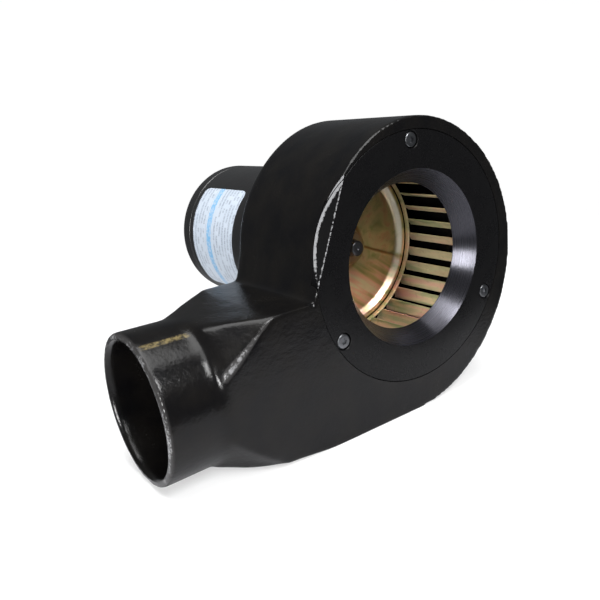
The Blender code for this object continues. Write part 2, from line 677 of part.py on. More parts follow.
def rear_end_cap():
    front = SHELL_REAR + GAP
    rounded = []
    for step in range(CAP_STEPS + 1):
        x, z = polar(CAP_EDGE, math.pi / 2 * step / CAP_STEPS)
        rounded.append((MOTOR_RADIUS - CAP_EDGE + z, MOTOR_REAR - CAP_EDGE + x))
    spigot = MOTOR_RADIUS - SHELL_WALL - GAP
    spigot_front = WINDING_REAR + 0.6 * MM
    inner = BOLT_PITCH - BOLT_LAND
    floor = MOTOR_REAR - CAP_FLOOR
    bore = BEARING_RADIUS + GAP
    seat = REAR_BEARING + BEARING_WIDTH + WASHER_ROOM
    profile = [(0, MOTOR_REAR)] + rounded + [
        (MOTOR_RADIUS, front), (spigot, front), (spigot, spigot_front), (inner, spigot_front),
        (inner, floor), (BOSS_RADIUS, floor), (BOSS_RADIUS, REAR_BEARING - GAP),
        (bore, REAR_BEARING - GAP), (bore, seat), (0, seat)]
    cap = turned("rear_end_cap", profile, MOTOR_SIDES)
    head_seat = MOTOR_REAR - BOLT_COUNTERBORE_DEPTH
    hole = counterbored(BOLT_COUNTERBORE, BOLT_HOLE, MOTOR_REAR + PAST, head_seat, spigot_front - PAST)
    bored(cap, "bolt_hole", tie_bolt_places(), hole)
    return finish(cap, PAINT_BLACK)


def tie_bolts():
    """Long bolts whose heads sit in the rear cap and whose ends are in the front bell."""
    head_rear = MOTOR_REAR - BOLT_RECESS
    head_front = MOTOR_REAR - BOLT_COUNTERBORE_DEPTH + GAP
    chamfer = 0.3 * MM
    profile = [
        (0, head_rear), (BOLT_HEAD - chamfer, head_rear), (BOLT_HEAD, head_rear - chamfer),
        (BOLT_HEAD, head_front), (BOLT_RADIUS, head_front), (BOLT_RADIUS, BOLT_END), (0, BOLT_END)]
    socket = rod(1.5 * MM, head_rear - 1.8 * MM, head_rear + PAST)
    for index, (x, z) in enumerate(tie_bolt_places(), 1):
        bolt = turned(f"tie_bolt_{index}", profile, SMALL, location=(x, 0, z))
        boolean(bolt, cutter(f"tie_bolt_socket_{index}", socket, 6, location=(x, 0, z)))
        finish(bolt, ZINC_STEEL)


def slot_outline(margin):
    """Winding slot between two stator teeth, wider towards the outside."""
    inner = SLOT_INNER + margin
    outer = SLOT_OUTER - margin
    half = math.radians(180 / SLOTS * 0.52)
    return [(inner, inner * math.tan(half) - margin), (outer, outer * math.tan(half) - margin),
            (outer, margin - outer * math.tan(half)), (inner, margin - inner * math.tan(half))]


def stator_core():
    core = turned("stator_core", ring(STATOR_BORE, STATOR_RADIUS, CORE_FRONT, CORE_REAR), MOTOR_SIDES)
    slot = prism("slot", slot_outline(0), CORE_FRONT - PAST, CORE_REAR + PAST, CUTTERS)
    boolean(core, as_cutter(repeated_about_shaft("slots", slot, SLOTS, CUTTERS)))
    bored(core, "core_bolt_hole", tie_bolt_places(), rod(BOLT_HOLE, CORE_FRONT - PAST, CORE_REAR + PAST))
    return finish(core, LAMINATION)


def coil_end(front, rear):
    """Profile of one bundle of end turns, with rounded corners."""
    corner = 2 * MM
    return [
        (WINDING_INNER, front + corner), (WINDING_INNER + corner, front), (WINDING_OUTER - corner, front),
        (WINDING_OUTER, front + corner), (WINDING_OUTER, rear - corner), (WINDING_OUTER - corner, rear),
        (WINDING_INNER + corner, rear), (WINDING_INNER, rear - corner)]


def stator_winding():
    winding = turned("stator_winding", coil_end(WINDING_FRONT, CORE_FRONT - GAP), MEDIUM)
    rear = as_cutter(turned("rear_turns", coil_end(CORE_REAR + GAP, WINDING_REAR), MEDIUM, CUTTERS))
    bar = prism("slot_bar", slot_outline(GAP), CORE_FRONT - 4 * MM, CORE_REAR + 4 * MM, CUTTERS)
    bars = as_cutter(repeated_about_shaft("slot_bars", bar, SLOTS, CUTTERS))
    boolean(winding, bars, "UNION")
    boolean(winding, rear, "UNION")
    return finish(winding, COPPER)


def rotor_pieces(rotor):
    bore = SHOULDER_RADIUS + GAP
    core = turned("rotor_core", ring(bore, ROTOR_RADIUS, CORE_FRONT, CORE_REAR), MEDIUM)
    finish(core, LAMINATION, rotor)
    for name, start in (("front", CORE_FRONT - GAP - 4 * MM), ("rear", CORE_REAR + GAP)):
        profile = ring(10 * MM, ROTOR_RADIUS - 0.6 * MM, start, start + 4 * MM)
        finish(turned(f"rotor_end_ring_{name}", profile, MEDIUM), ALUMINIUM, rotor)


def race_profile(land, flank, start, side):
    """Bearing race with a groove that clears the balls; side is 1 inside them and -1 outside."""
    middle = start + BEARING_WIDTH / 2
    groove = BALL_RADIUS + GAP
    half_angle = math.acos(abs(BALL_PITCH - land) / groove)
    arc = [(BALL_PITCH - side * groove * math.cos(angle), middle + groove * math.sin(angle))
           for angle in (-half_angle, 0, half_angle)]
    end = start + BEARING_WIDTH
    return [(flank, start), (land, start)] + arc + [(land, end), (flank, end)]


def ball_bearing(side, start, rotor, cage_pivot):
    """Outer race on the motor, inner race on the shaft, and a cage with its balls between."""
    outer_profile = race_profile(OUTER_LAND, BEARING_RADIUS, start, -1)
    finish(turned(f"{side}_bearing_outer_race", outer_profile, MEDIUM), STEEL)
    inner_profile = race_profile(INNER_LAND, SHAFT_RADIUS + GAP, start, 1)
    finish(turned(f"{side}_bearing_inner_race", inner_profile, MEDIUM), STEEL, rotor)
    cage_profile = ring(CAGE_INNER, CAGE_OUTER, -CAGE_HALF_WIDTH, CAGE_HALF_WIDTH)
    cage = turned(f"{side}_ball_cage", cage_profile, 4 * BALLS)
    pocket_profile = rod(BALL_RADIUS + GAP, CAGE_INNER - PAST, CAGE_OUTER + PAST)
    pocket = turned(f"{side}_pocket", pocket_profile, HOLE, CUTTERS, "X", spin=CUTTER_SPIN)
    pockets = as_cutter(repeated_about_shaft(f"{side}_pockets", pocket, BALLS, CUTTERS))
    pockets.parent = cage_pivot
    boolean(cage, pockets)
    for index in range(BALLS):
        x, z = polar(BALL_PITCH, -2 * math.pi * index / BALLS)
        finish(ball(f"{side}_ball_{index + 1}", BALL_RADIUS, x, z, PARTS), STEEL, cage_pivot)
    finish(cage, CAGE_BRASS, cage_pivot)
    cage_pivot.location.y = start + BEARING_WIDTH / 2


def ball(name, radius, x, z, group):
    body = bmesh.new()
    bmesh.ops.create_icosphere(body, subdivisions=2, radius=radius)
    mesh = bpy.data.meshes.new(name)
    body.to_mesh(mesh)
    body.free()
    obj = place(name, mesh, group)
    obj.location = (x, 0, z)
    return obj


def rear_wave_washer():
    start = REAR_BEARING + BEARING_WIDTH + GAP
    inner, outer, height = WASHER
    washer = turned("rear_wave_washer", ring(inner, outer, start, start + height), MEDIUM)
    return finish(washer, STEEL)


def motor_label():
    """Foil bent round the side of the motor."""
    first, last = LABEL_ANGLES
    front, rear = LABEL_DEPTHS
    inner = MOTOR_RADIUS + GAP
    steps = 12
    body = bmesh.new()
    bmesh.ops.create_grid(body, x_segments=steps, y_segments=1, size=0.5)
    for vertex in body.verts:
        angle = first + (last - first) * (vertex.co.x + 0.5)
        x, z = polar(inner, angle)
        vertex.co = (x, front + (rear - front) * (vertex.co.y + 0.5), z)
    bmesh.ops.recalc_face_normals(body, faces=body.faces)
    if body.faces[:][0].normal.x > 0:
        bmesh.ops.reverse_faces(body, faces=body.faces)
    mesh = bpy.data.meshes.new("motor_label")
    body.to_mesh(mesh)
    body.free()
    label = place("motor_label", mesh, PARTS)
    solid = label.modifiers.new("Thickness", "SOLIDIFY")
    solid.thickness = LABEL_THICKNESS
    solid.offset = 1
    return finish(label, LABEL_FOIL)


remove_old_objects()
PARTS = collection("centrifugal_blower")
CUTTERS = collection("cutters")
SMOOTH_BY_ANGLE = smooth_by_angle(math.radians(35))

CAST_BLACK = material("cast_black", (0.022, 0.021, 0.022), 0.42, 0.35)
COVER_BLACK = material("cover_black", (0.018, 0.018, 0.020), 0.40, 0.5)
PAINT_BLACK = material("paint_black", (0.012, 0.012, 0.013), 0.35, 0.0)
BELL_GREY = material("bell_grey", (0.25, 0.25, 0.26), 0.45, 0.9)
YELLOW_ZINC = material("yellow_zinc", (0.62, 0.47, 0.24), 0.34, 0.95)
ZINC_STEEL = material("zinc_steel", (0.42, 0.43, 0.45), 0.32, 1.0)
DARK_STEEL = material("dark_steel", (0.06, 0.06, 0.065), 0.40, 0.9)
STEEL = material("steel", (0.55, 0.56, 0.58), 0.25, 1.0)
LAMINATION = material("lamination", (0.16, 0.16, 0.17), 0.55, 0.8)
COPPER = material("copper", (0.55, 0.22, 0.09), 0.40, 0.9)
ALUMINIUM = material("aluminium", (0.65, 0.66, 0.68), 0.38, 1.0)
CAGE_BRASS = material("cage_brass", (0.62, 0.45, 0.18), 0.35, 1.0)
RUBBER = material("rubber", (0.02, 0.02, 0.02), 0.75, 0.0)
LABEL_FOIL = material("label_foil", (0.80, 0.84, 0.88), 0.35, 0.0)

volute_housing()
inlet_cover()
cover_screws()

rotor_axis = pivot("rotor_axis")
wheel_blade_cage(rotor_axis)
wheel_front_hem(rotor_axis)
wheel_back_plate(rotor_axis)
wheel_hub(rotor_axis)
motor_shaft(rotor_axis)
rotor_pieces(rotor_axis)

motor_front_bell()
motor_screws()
motor_shell()
cable_grommet()
rear_end_cap()
tie_bolts()
stator_core()
stator_winding()
ball_bearing("front", FRONT_BEARING, rotor_axis, pivot("front_cage_axis"))
ball_bearing("rear", REAR_BEARING, rotor_axis, pivot("rear_cage_axis"))
rear_wave_washer()
motor_label()
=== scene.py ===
"""Looks of the centrifugal blower: fine meshes, materials, studio and camera.

Everything is in metres in the CAD's frame. The shaft runs along +Y from the inlet to the
motor, +Z is up and the outlet tube points along -X.
"""
import json
from math import asin, copysign, cos, exp, hypot, pi, radians, sin, sqrt, tan

import bmesh
import bpy
import numpy as np
from mathutils import Matrix, Vector


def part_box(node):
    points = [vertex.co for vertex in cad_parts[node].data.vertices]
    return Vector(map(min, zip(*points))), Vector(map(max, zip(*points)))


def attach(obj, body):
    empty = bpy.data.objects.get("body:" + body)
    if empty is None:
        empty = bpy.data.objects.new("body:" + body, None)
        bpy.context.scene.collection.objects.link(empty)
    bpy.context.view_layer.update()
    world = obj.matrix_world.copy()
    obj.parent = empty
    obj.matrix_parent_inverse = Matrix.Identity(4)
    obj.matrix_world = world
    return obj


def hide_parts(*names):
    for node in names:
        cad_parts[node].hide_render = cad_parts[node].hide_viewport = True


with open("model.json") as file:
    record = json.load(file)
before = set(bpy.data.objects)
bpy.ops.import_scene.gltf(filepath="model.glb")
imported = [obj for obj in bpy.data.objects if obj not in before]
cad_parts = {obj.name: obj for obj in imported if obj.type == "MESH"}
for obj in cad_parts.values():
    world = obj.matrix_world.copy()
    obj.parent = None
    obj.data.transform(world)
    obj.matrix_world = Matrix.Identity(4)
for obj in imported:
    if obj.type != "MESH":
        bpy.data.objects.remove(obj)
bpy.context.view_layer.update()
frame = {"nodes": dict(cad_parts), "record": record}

MM = 0.001


def high(node):
    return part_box(node)[1]


def low(node):
    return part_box(node)[0]


# Sizes read from the frame
DEPTH = high("volute_housing").y
OUTLET_X = low("volute_housing").x
DUCT_LOW = low("volute_housing").z
SHELL_FRONT = low("motor_shell").y
SHELL_REAR = high("motor_shell").y
MOTOR_REAR = high("rear_end_cap").y
MOTOR_RADIUS = high("motor_shell").z
COVER_RADIUS = high("inlet_cover").x
INLET_DEPTH = high("inlet_cover").y
WHEEL_FRONT = low("wheel_front_hem").y
WHEEL_RADIUS = high("wheel_front_hem").x
PLATE_DEPTH = low("wheel_back_plate").y
HUB_FRONT = low("wheel_hub").y
HUB_REAR = high("wheel_hub").y
SHAFT_FRONT = low("motor_shaft").y
CABLE_DEPTH = (low("cable_grommet").y + high("cable_grommet").y) / 2

# Sizes of the design
GAP = 0.3 * MM
SCROLL_RADII = [r * MM for r in (55.6, 58.2, 62.9, 63.3, 65.1, 68.4, 73.1)]
SCROLL_STEP = radians(45)
WALL = 3.2 * MM
FRONT_WALL = 7.0 * MM
REAR_WALL = 3.5 * MM
REAR_EDGE = 5.2 * MM                # rounding of the casting's rear edge
DUCT_HALF = 33.6 * MM
DUCT_CENTRE = Vector((0, DEPTH / 2, DUCT_LOW + DUCT_HALF))
DUCT_END = -105.0 * MM
DUCT_END_HALF = 32.3 * MM
TAPER_START = -80.0 * MM
FACETS = {
    ("front", "top"): (-80.0 * MM, 34.3 * MM), ("front", "low"): (-79.0 * MM, 31.6 * MM),
    ("rear", "top"): (-72.0 * MM, 30.6 * MM), ("rear", "low"): (-72.0 * MM, 31.6 * MM)}
FACET_BLOCK = (70 * MM, 60 * MM, 16 * MM)
TONGUE_X = -59.5 * MM
TONGUE_ANGLE = radians(172)
TUBE_RADIUS = 32.7 * MM
TUBE_ROOT_RADIUS = 32.2 * MM
TUBE_OVERLAP = 8 * MM               # how far the tube reaches into the duct
BORE_RADIUS = 28.5 * MM
BORE_ROOT_RADIUS = 27.9 * MM
SPIGOT_HOLE = 14.3 * MM             # radius of the rear wall's hole round the motor's boss
MOTOR_SCREW_PITCH = 24 * MM
MOTOR_SCREW_HOLE = 2.5 * MM
FLANGE = 4.0 * MM
PLUG_RADIUS = 50.0 * MM
PLUG_DEPTH = 6.5 * MM
BEVEL_RADIUS = 40.5 * MM
INLET_RADIUS = 33.8 * MM
THROAT_WIDTHS = (10 * MM, 4 * MM)   # how far the throat's outside lies beyond the inlet's edge
SCREW_PITCH = 53.0 * MM
SCREW_ANGLES = (90, -30, -150)
SCREW_RADIUS = 1.9 * MM
SCREW_HOLE = 2.2 * MM
SCREW_HEAD = 3.4 * MM               # radius of a cover screw's head
SCREW_HEAD_HEIGHT = 2.0 * MM
SOCKET_RADIUS = 1.5 * MM
FLAT_DISTANCE = 52.45 * MM
FLAT_ANGLE = radians(157)
FLAT_SLOPE = 1.25
BLADES = 36
BLADE_INNER = 44.4 * MM
BLADE_OUTER = 49.3 * MM
PLATE_SHEET = 1.0 * MM
BLADE_LEAN = radians(5.2)
BLADE_CURVE = 1.3                   # over 1, the blade bends further round towards its tip
BLADE_SHEET = 0.6 * MM
BLADE_PHASE = radians(1.6)          # how far the blades are turned from the +X axis
BAND = (44.4 * MM, 45.2 * MM)       # inner and outer radius of the blade strip's bands
BLADE_END = 50.8 * MM               # depth at which the blades end
PLATE_EDGE = 44.2 * MM              # the plate sits inside the strip's rear band
DISH_RADIUS = 39.6 * MM
DISH_DEPTH = 2.3 * MM
COUNTERBORE_RADIUS = 3.8 * MM
COUNTERBORE_DEPTH = 2.5 * MM
HUB_RADIUS = 8.5 * MM
HUB_FLANGE_RADIUS = 12.5 * MM
SET_SCREW_HOLE = 1.8 * MM
SHAFT_RADIUS = 4.0 * MM
SHELL_WALL = 2.4 * MM
BOLT_PITCH = 33.0 * MM
BOLT_ANGLES = [radians(45 + 90 * k) for k in range(4)]
BOLT_HOLE = 2.3 * MM
BOLT_HEAD = 3.2 * MM                # radius of a tie bolt's head
BOLT_HEAD_DEPTH = 3.0 * MM          # depth of the head's underside below the motor's rear
BOLT_COUNTERBORE = 3.6 * MM
CABLE_HOLE = 4.8 * MM
LABEL_ANGLES = (radians(130), radians(220))
LABEL_CORNER = 4 * MM
LABEL_SHEET = 0.2 * MM
PAST = 1 * MM                       # how far a cutter runs past what it cuts
ROUND = 192                         # segments of the large turned pieces
VOXEL = 0.85 * MM                   # grain of the casting's mesh

# Looks
STEP_RADIUS = 40.2 * MM             # middle of the painted highlight on the plate's step
BOSS_RADIUS = 12.8 * MM
CREASE_SLOPE = -0.43                # the plate's crease, as z over x
CREASE_Z = 2.9 * MM
STREAK_Y = 20.0 * MM                # depth of the dirty parting line on the tube
WORN_BARE = 0.34                    # value of the wear attribute, which also holds painted highlight bands, at which bare metal begins to show
LABEL_BAND = 125.5 * MM             # depth of the label's blue band
LABEL_BAND_HALF = 2.6 * MM
LABEL_ROW = 3.1 * MM
LABEL_WORD = 2.6 * MM
BARE_METAL = (0.40, 0.40, 0.41)
WHITE = (1, 1, 1)
ZINC_TINTS = (
    (0.28, (0.42, 0.44, 0.22)), (0.42, (0.66, 0.58, 0.33)), (0.52, (0.76, 0.62, 0.38)),
    (0.62, (0.78, 0.52, 0.34)), (0.74, (0.62, 0.56, 0.30)))
# Colours of the painted reflections of the blades on the plate's lower part
PLATE_BLADE_REFLECTIONS = (
    (0.36, (0.30, 0.34, 0.16)), (0.46, (0.70, 0.52, 0.30)), (0.55, (0.98, 0.56, 0.48)),
    (0.64, (0.90, 0.80, 0.62)))
BLADE_REFLECTION_TURN = radians(-36)          # slope of the painted blade reflections on the plate's lower part
ZINC_LOW_TINTS = ((0.36, (0.36, 0.48, 0.22)), (0.5, (0.84, 0.66, 0.40)), (0.62, (0.92, 0.46, 0.40)))

# Light and camera
LIGHT_AIM = Vector((0, 0.03, 0))
SHEET_CENTRE = (-0.04, 0.04)        # middle of the blower as seen from above
CAMERA_PLACE = Vector((-209.87, -209.99, 72.65)) * MM
CAMERA_AIM = Vector((-47.72, 27.68, -12.36)) * MM
CAMERA_ROLL = radians(-5.934)
LENS = 39.73


# ---------------------------------------------------------------- shapes

def polar(radius, angle):
    return radius * cos(angle), radius * sin(angle)


def place(name, data):
    obj = bpy.data.objects.new(name, data)
    bpy.context.scene.collection.objects.link(obj)
    return obj


def from_faces(name, points, faces):
    mesh = bpy.data.meshes.new(name)
    mesh.from_pydata([tuple(p) for p in points], [], faces)
    return place(name, mesh)


def fillet(points, radii, steps=4):
    """Round the corners of a closed outline, with one radius for all or one for each."""
    count = len(points)
    if not isinstance(radii, (list, tuple)):
        radii = [radii] * count
    outline = []
    for index, radius in enumerate(radii):
        corner = Vector(points[index])
        to_before = Vector(points[index - 1]) - corner
        to_after = Vector(points[(index + 1) % count]) - corner
        if radius == 0:
            outline.append(tuple(corner))
            continue
        half = to_before.angle(to_after) / 2
        reach = min(radius / tan(half), 0.49 * to_before.length, 0.49 * to_after.length)
        first = corner + to_before.normalized() * reach
        last = corner + to_after.normalized() * reach
        for step in range(steps + 1):
            t = step / steps
            outline.append(tuple(first * (1 - t) ** 2 + corner * 2 * t * (1 - t) + last * t ** 2))
    return outline


def turned(name, profile, segments=ROUND, centre=(0, 0, 0), axis="Y"):
    """Solid of revolution from a closed list of (radius, distance along the axis) points."""
    points, rings = [], []
    for radius, along in profile:
        if radius <= 1e-9:
            rings.append([len(points)])
            points.append((0, along, 0))
            continue
        rings.append(list(range(len(points), len(points) + segments)))
        for k in range(segments):
            x, z = polar(radius, 2 * pi * k / segments)
            points.append((x, along, z))
    faces = []
    for before, after in zip(rings, rings[1:] + rings[:1]):
        for k in range(segments):
            m = (k + 1) % segments
            if len(before) > 1 and len(after) > 1:
                faces.append((before[k], before[m], after[m], after[k]))
            elif len(before) > 1:
                faces.append((before[k], before[m], after[0]))
            elif len(after) > 1:
                faces.append((before[0], after[m], after[k]))
    obj = from_faces(name, points, faces)
    turn = {"Y": Matrix.Identity(4), "-X": Matrix.Rotation(pi / 2, 4, "Z"),
            "X": Matrix.Rotation(-pi / 2, 4, "Z")}[axis]
    obj.data.transform(Matrix.Translation(centre) @ turn)
    return turn_outwards(obj)


def turn_outwards(obj):
    """Make all faces point outwards."""
    body = bmesh.new()
    body.from_mesh(obj.data)
    bmesh.ops.recalc_face_normals(body, faces=body.faces)
    body.to_mesh(obj.data)
    body.free()
    return shade(obj)


def shade(obj, sharp=35):
    """Shade smoothly, with hard edges only over the sharp angle in degrees."""
    obj.data.shade_smooth()
    obj.data.set_sharp_from_angle(angle=radians(sharp))
    return obj


def rod(radius, start, end):
    return [(0, start), (radius, start), (radius, end), (0, end)]


def ring(inner, outer, start, end, radius=0):
    return fillet([(inner, start), (outer, start), (outer, end), (inner, end)], radius)


def prism(name, outline, front, rear):
    """Extrude an (x, z) outline from one depth to another."""
    count = len(outline)
    points = [(x, front, z) for x, z in outline] + [(x, rear, z) for x, z in outline]
    faces = [tuple(range(count)), tuple(range(2 * count - 1, count - 1, -1))]
    faces += [(k, (k + 1) % count, count + (k + 1) % count, count + k) for k in range(count)]
    return turn_outwards(from_faces(name, points, faces))


def applied(obj):
    """Put an object's modifiers into its mesh."""
    bpy.context.view_layer.update()
    graph = bpy.context.evaluated_depsgraph_get()
    mesh = bpy.data.meshes.new_from_object(obj.evaluated_get(graph))
    obj.modifiers.clear()
    obj.data = mesh


def cut(obj, *tools, operation="DIFFERENCE"):
    """Boolean with each tool in turn; the tools are used up."""
    for tool in tools:
        modifier = obj.modifiers.new("Cut", "BOOLEAN")
        modifier.operation = operation
        modifier.solver = "MANIFOLD"
        modifier.object = tool
        applied(obj)
        bpy.data.objects.remove(tool, do_unlink=True)
    return obj


def drill(obj, radius, start, end, segments, centre=(0, 0, 0), axis="Y"):
    """Cut a round hole; start and end are distances along the axis from the centre."""
    cut(obj, turned("hole", rod(radius, start, end), segments, centre, axis))


def join(name, pieces):
    """One object from several, which stay separate shells."""
    body = bmesh.new()
    for piece in pieces:
        body.from_mesh(piece.data)
        bpy.data.objects.remove(piece, do_unlink=True)
    mesh = bpy.data.meshes.new(name)
    body.to_mesh(mesh)
    body.free()
    return place(name, mesh)


def edge_arrays(mesh):
    """Positions of the vertices, and the two ends of each edge."""
    points = np.empty(len(mesh.vertices) * 3)
    mesh.vertices.foreach_get("co", points)
    ends = np.empty(len(mesh.edges) * 2, dtype=np.int64)
    mesh.edges.foreach_get("vertices", ends)
    return points.reshape(-1, 3), ends.reshape(-1, 2)


def neighbour_mean(values, ends):
    """Mean of each vertex's neighbours, for one value or a vector per vertex."""
    total = np.zeros_like(values)
    np.add.at(total, ends[:, 0], values[ends[:, 1]])
    np.add.at(total, ends[:, 1], values[ends[:, 0]])
    count = np.bincount(ends.ravel(), minlength=len(values)).clip(1)
    return total / (count[:, None] if values.ndim == 2 else count)


def soften(obj, rounds, strength):
    """Smooth a mesh; strength gives each vertex a share from its position."""
    points, ends = edge_arrays(obj.data)
    share = strength(points)[:, None]
    for _ in range(rounds):
        points += share * (neighbour_mean(points, ends) - points)
    obj.data.vertices.foreach_set("co", points.ravel())
    obj.data.update()


def near(distance, reach):
    """1 at no distance, falling evenly to 0 at the reach."""
    return np.clip(1 - distance / reach, 0, 1)


def mark_wear(obj, reach):
    """Store how convex the surface is at each vertex, for paint rubbed off edges and for pale edges that are
    partly painted highlight.
    """
    mesh = obj.data
    points, ends = edge_arrays(mesh)
    normals = np.empty(len(points) * 3)
    mesh.vertices.foreach_get("normal", normals)
    normals = normals.reshape(-1, 3)
    length = np.linalg.norm(points[ends[:, 0]] - points[ends[:, 1]], axis=1)
    total = np.bincount(ends.ravel(), weights=np.repeat(length, 2), minlength=len(points))
    spread = (total / np.bincount(ends.ravel(), minlength=len(points)).clip(1)) ** 2
    bulge = -((neighbour_mean(points, ends) - points) * normals).sum(axis=1)
    wear = np.clip(bulge / spread.clip(1e-12) * reach, -1, 1)
    for _ in range(2):
        wear = 0.5 * wear + 0.5 * neighbour_mean(wear, ends)
    attribute = mesh.attributes.new("wear", "FLOAT", "POINT")
    attribute.data.foreach_set("value", wear)


# ---------------------------------------------------------------- materials

class Paint:
    """A Principled material whose nodes are added one by one."""

    def __init__(self, name, **sockets):
        self.material = bpy.data.materials.new(name)
        self.material.use_nodes = True
        self.tree = self.material.node_tree
        self.shader = self.tree.nodes["Principled BSDF"]
        self.put(self.shader, sockets)
        self.place = self.add("ShaderNodeTexCoord", out="Object")
        self.normal = None

    def put(self, node, sockets):
        """Fill sockets, which a key gives by name, or by number as in i0."""
        for key, value in sockets.items():
            numbered = key[0] == "i" and key[1:].isdigit()
            socket = node.inputs[int(key[1:]) if numbered else key.replace("_", " ")]
            if isinstance(value, bpy.types.NodeSocket):
                self.tree.links.new(value, socket)
            elif socket.type == "RGBA" and len(value) == 3:
                socket.default_value = (*value, 1)
            else:
                socket.default_value = value

    def add(self, kind, settings=None, out=0, **sockets):
        """New node, of which one output is given back."""
        node = self.tree.nodes.new(kind)
        for key, value in (settings or {}).items():
            setattr(node, key, value)
        self.put(node, sockets)
        return node.outputs[out]

    def noise(self, size, detail=3, rough=0.55, stretch=None):
        """Noise from 0 to 1 with features of that size in millimetres."""
        place_used = self.stretched(stretch) if stretch else self.place
        return self.add(
            "ShaderNodeTexNoise", Vector=place_used, Scale=1 / (size * MM), Detail=detail, Roughness=rough)

    def stretched(self, scale):
        return self.add("ShaderNodeMapping", Vector=self.place, Scale=scale)

    def levels(self, value, low_end, high_end, start=0.0, end=1.0):
        """Straight ramp of a value, clamped at both ends."""
        return self.add("ShaderNodeMapRange", {"clamp": True}, Value=value, From_Min=low_end,
                        From_Max=high_end, To_Min=start, To_Max=end)

    def uneven(self, size, least, most, detail=3, rough=0.55):
        """Noise spread between two values, with features of that size in millimetres."""
        return self.levels(self.noise(size, detail, rough), 0.3, 0.7, least, most)

    def maths(self, operation, a, b=0.0):
        return self.add("ShaderNodeMath", {"operation": operation}, i0=a, i1=b)

    def times(self, a, b):
        return self.maths("MULTIPLY", a, b)

    def apart(self, a, b):
        """Distance between two values."""
        return self.maths("ABSOLUTE", self.maths("SUBTRACT", a, b))

    def mix(self, share, a, b):
        """Blend of two colours."""
        return self.add("ShaderNodeMix", {"data_type": "RGBA"}, 2, i0=share, i6=a, i7=b)

    def ramp(self, value, stops):
        colour = self.add("ShaderNodeValToRGB", Fac=value)
        elements = colour.node.color_ramp.elements
        while len(elements) < len(stops):
            elements.new(0.5)
        for element, (position, tint) in zip(elements, stops):
            element.position = position
            element.color = (*tint, 1)
        return colour

    def bump(self, height, distance):
        """Tilt the normal as if the surface rose by the height times the distance in millimetres."""
        sockets = {"Height": height, "Distance": distance * MM, "Strength": 1.0}
        if self.normal:
            sockets["Normal"] = self.normal
        self.normal = self.add("ShaderNodeBump", **sockets)

    def axes(self):
        return tuple(self.add("ShaderNodeSeparateXYZ", Vector=self.place).node.outputs)

    def done(self, **sockets):
        if self.normal:
            sockets["Normal"] = self.normal
        self.put(self.shader, sockets)
        return self.material


def cast_paint():
    """Black paint on a casting: orange peel, glossy and dull patches, rubbed edges that also carry painted
    highlights, a dirty streak.
    """
    paint = Paint("cast_paint", IOR=1.5, Specular_IOR_Level=0.24)
    worn = paint.add("ShaderNodeAttribute", {"attribute_name": "wear"}, "Fac")
    speckle = paint.noise(1.0, 4, 0.75)
    patches = paint.noise(14, 3)
    rubbed = paint.maths("ADD", worn, paint.levels(speckle, 0.3, 0.7, -0.16, 0.16))
    rubbed = paint.maths("ADD", rubbed, paint.levels(paint.noise(7, 2), 0.35, 0.65, -0.12, 0.08))
    # Bare metal where the wear and the painted highlight bands run highest.
    bare = paint.levels(rubbed, WORN_BARE, WORN_BARE + 0.22)
    # Pale grey on convex edges and on the marked bands: partly wear, partly painted highlight.
    wear_and_highlight = paint.levels(worn, 0.06, 0.40)
    colour = paint.mix(paint.levels(patches, 0.35, 0.65), (0.0026, 0.0025, 0.0028), (0.0046, 0.0041, 0.0037))
    colour = paint.mix(paint.times(wear_and_highlight, 0.6), colour, (0.060, 0.058, 0.058))
    colour = paint.mix(tube_streak(paint), colour, (0.16, 0.125, 0.055))
    colour = paint.mix(bare, colour, BARE_METAL)
    rough = paint.levels(patches, 0.3, 0.7, 0.17, 0.25)
    rough = paint.maths("ADD", rough, paint.levels(speckle, 0.3, 0.7, -0.02, 0.04))
    paint.bump(paint.noise(9, 2, 0.5), 0.18)
    paint.bump(paint.noise(1.7, 3, 0.6), 0.09)
    paint.bump(paint.noise(0.6, 2, 0.6), 0.025)
    return paint.done(Base_Color=colour, Roughness=rough, Metallic=paint.times(bare, 0.6))


def tube_streak(paint):
    """Yellowish dirt along the parting line on top of the outlet tube."""
    x, y, z = paint.axes()
    wander = paint.uneven(9, -0.25 * MM, 0.25 * MM, 2)
    distance = paint.apart(paint.maths("ADD", y, wander), STREAK_Y)
    line = paint.levels(distance, 0.8 * MM, 1.5 * MM, 1, 0)
    start = paint.levels(x, -128.5 * MM, -127 * MM)
    end = paint.levels(x, -109 * MM, -107 * MM, 1, 0)
    along = paint.times(start, end)
    top = paint.levels(z, DUCT_CENTRE.z, DUCT_CENTRE.z + 2 * MM)
    fade = paint.levels(paint.noise(1.6, 3, 0.7), 0.38, 0.60, 0.10, 0.95)
    return paint.times(paint.times(line, fade), paint.times(along, top))


def flat_paint():
    """Black touch-up on the ground flat, bare where its two edges are rubbed."""
    paint = Paint("flat_paint", Specular_IOR_Level=0.12)
    outer = paint.levels(ring_radius(paint), COVER_RADIUS - 1.5 * MM, COVER_RADIUS - 0.6 * MM)
    _, y, z = paint.axes()
    outer = paint.times(outer, paint.levels(z, 3 * MM, 9 * MM, 0.4, 1))
    inner = paint.levels(y, 0.25 * MM, 0.55 * MM, 0.75, 0)
    speckle = paint.noise(1.2, 4, 0.75)
    worn = paint.maths("MAXIMUM", outer, inner)
    worn = paint.maths("ADD", worn, paint.levels(speckle, 0.3, 0.7, -0.55, 0.3))
    bare = paint.levels(worn, 0.5, 0.8)
    colour = paint.mix(bare, (0.004, 0.004, 0.0042), BARE_METAL)
    paint.bump(speckle, 0.01)
    return paint.done(Base_Color=colour, Roughness=paint.levels(speckle, 0.3, 0.7, 0.16, 0.22),
                      Metallic=paint.times(bare, 0.6))


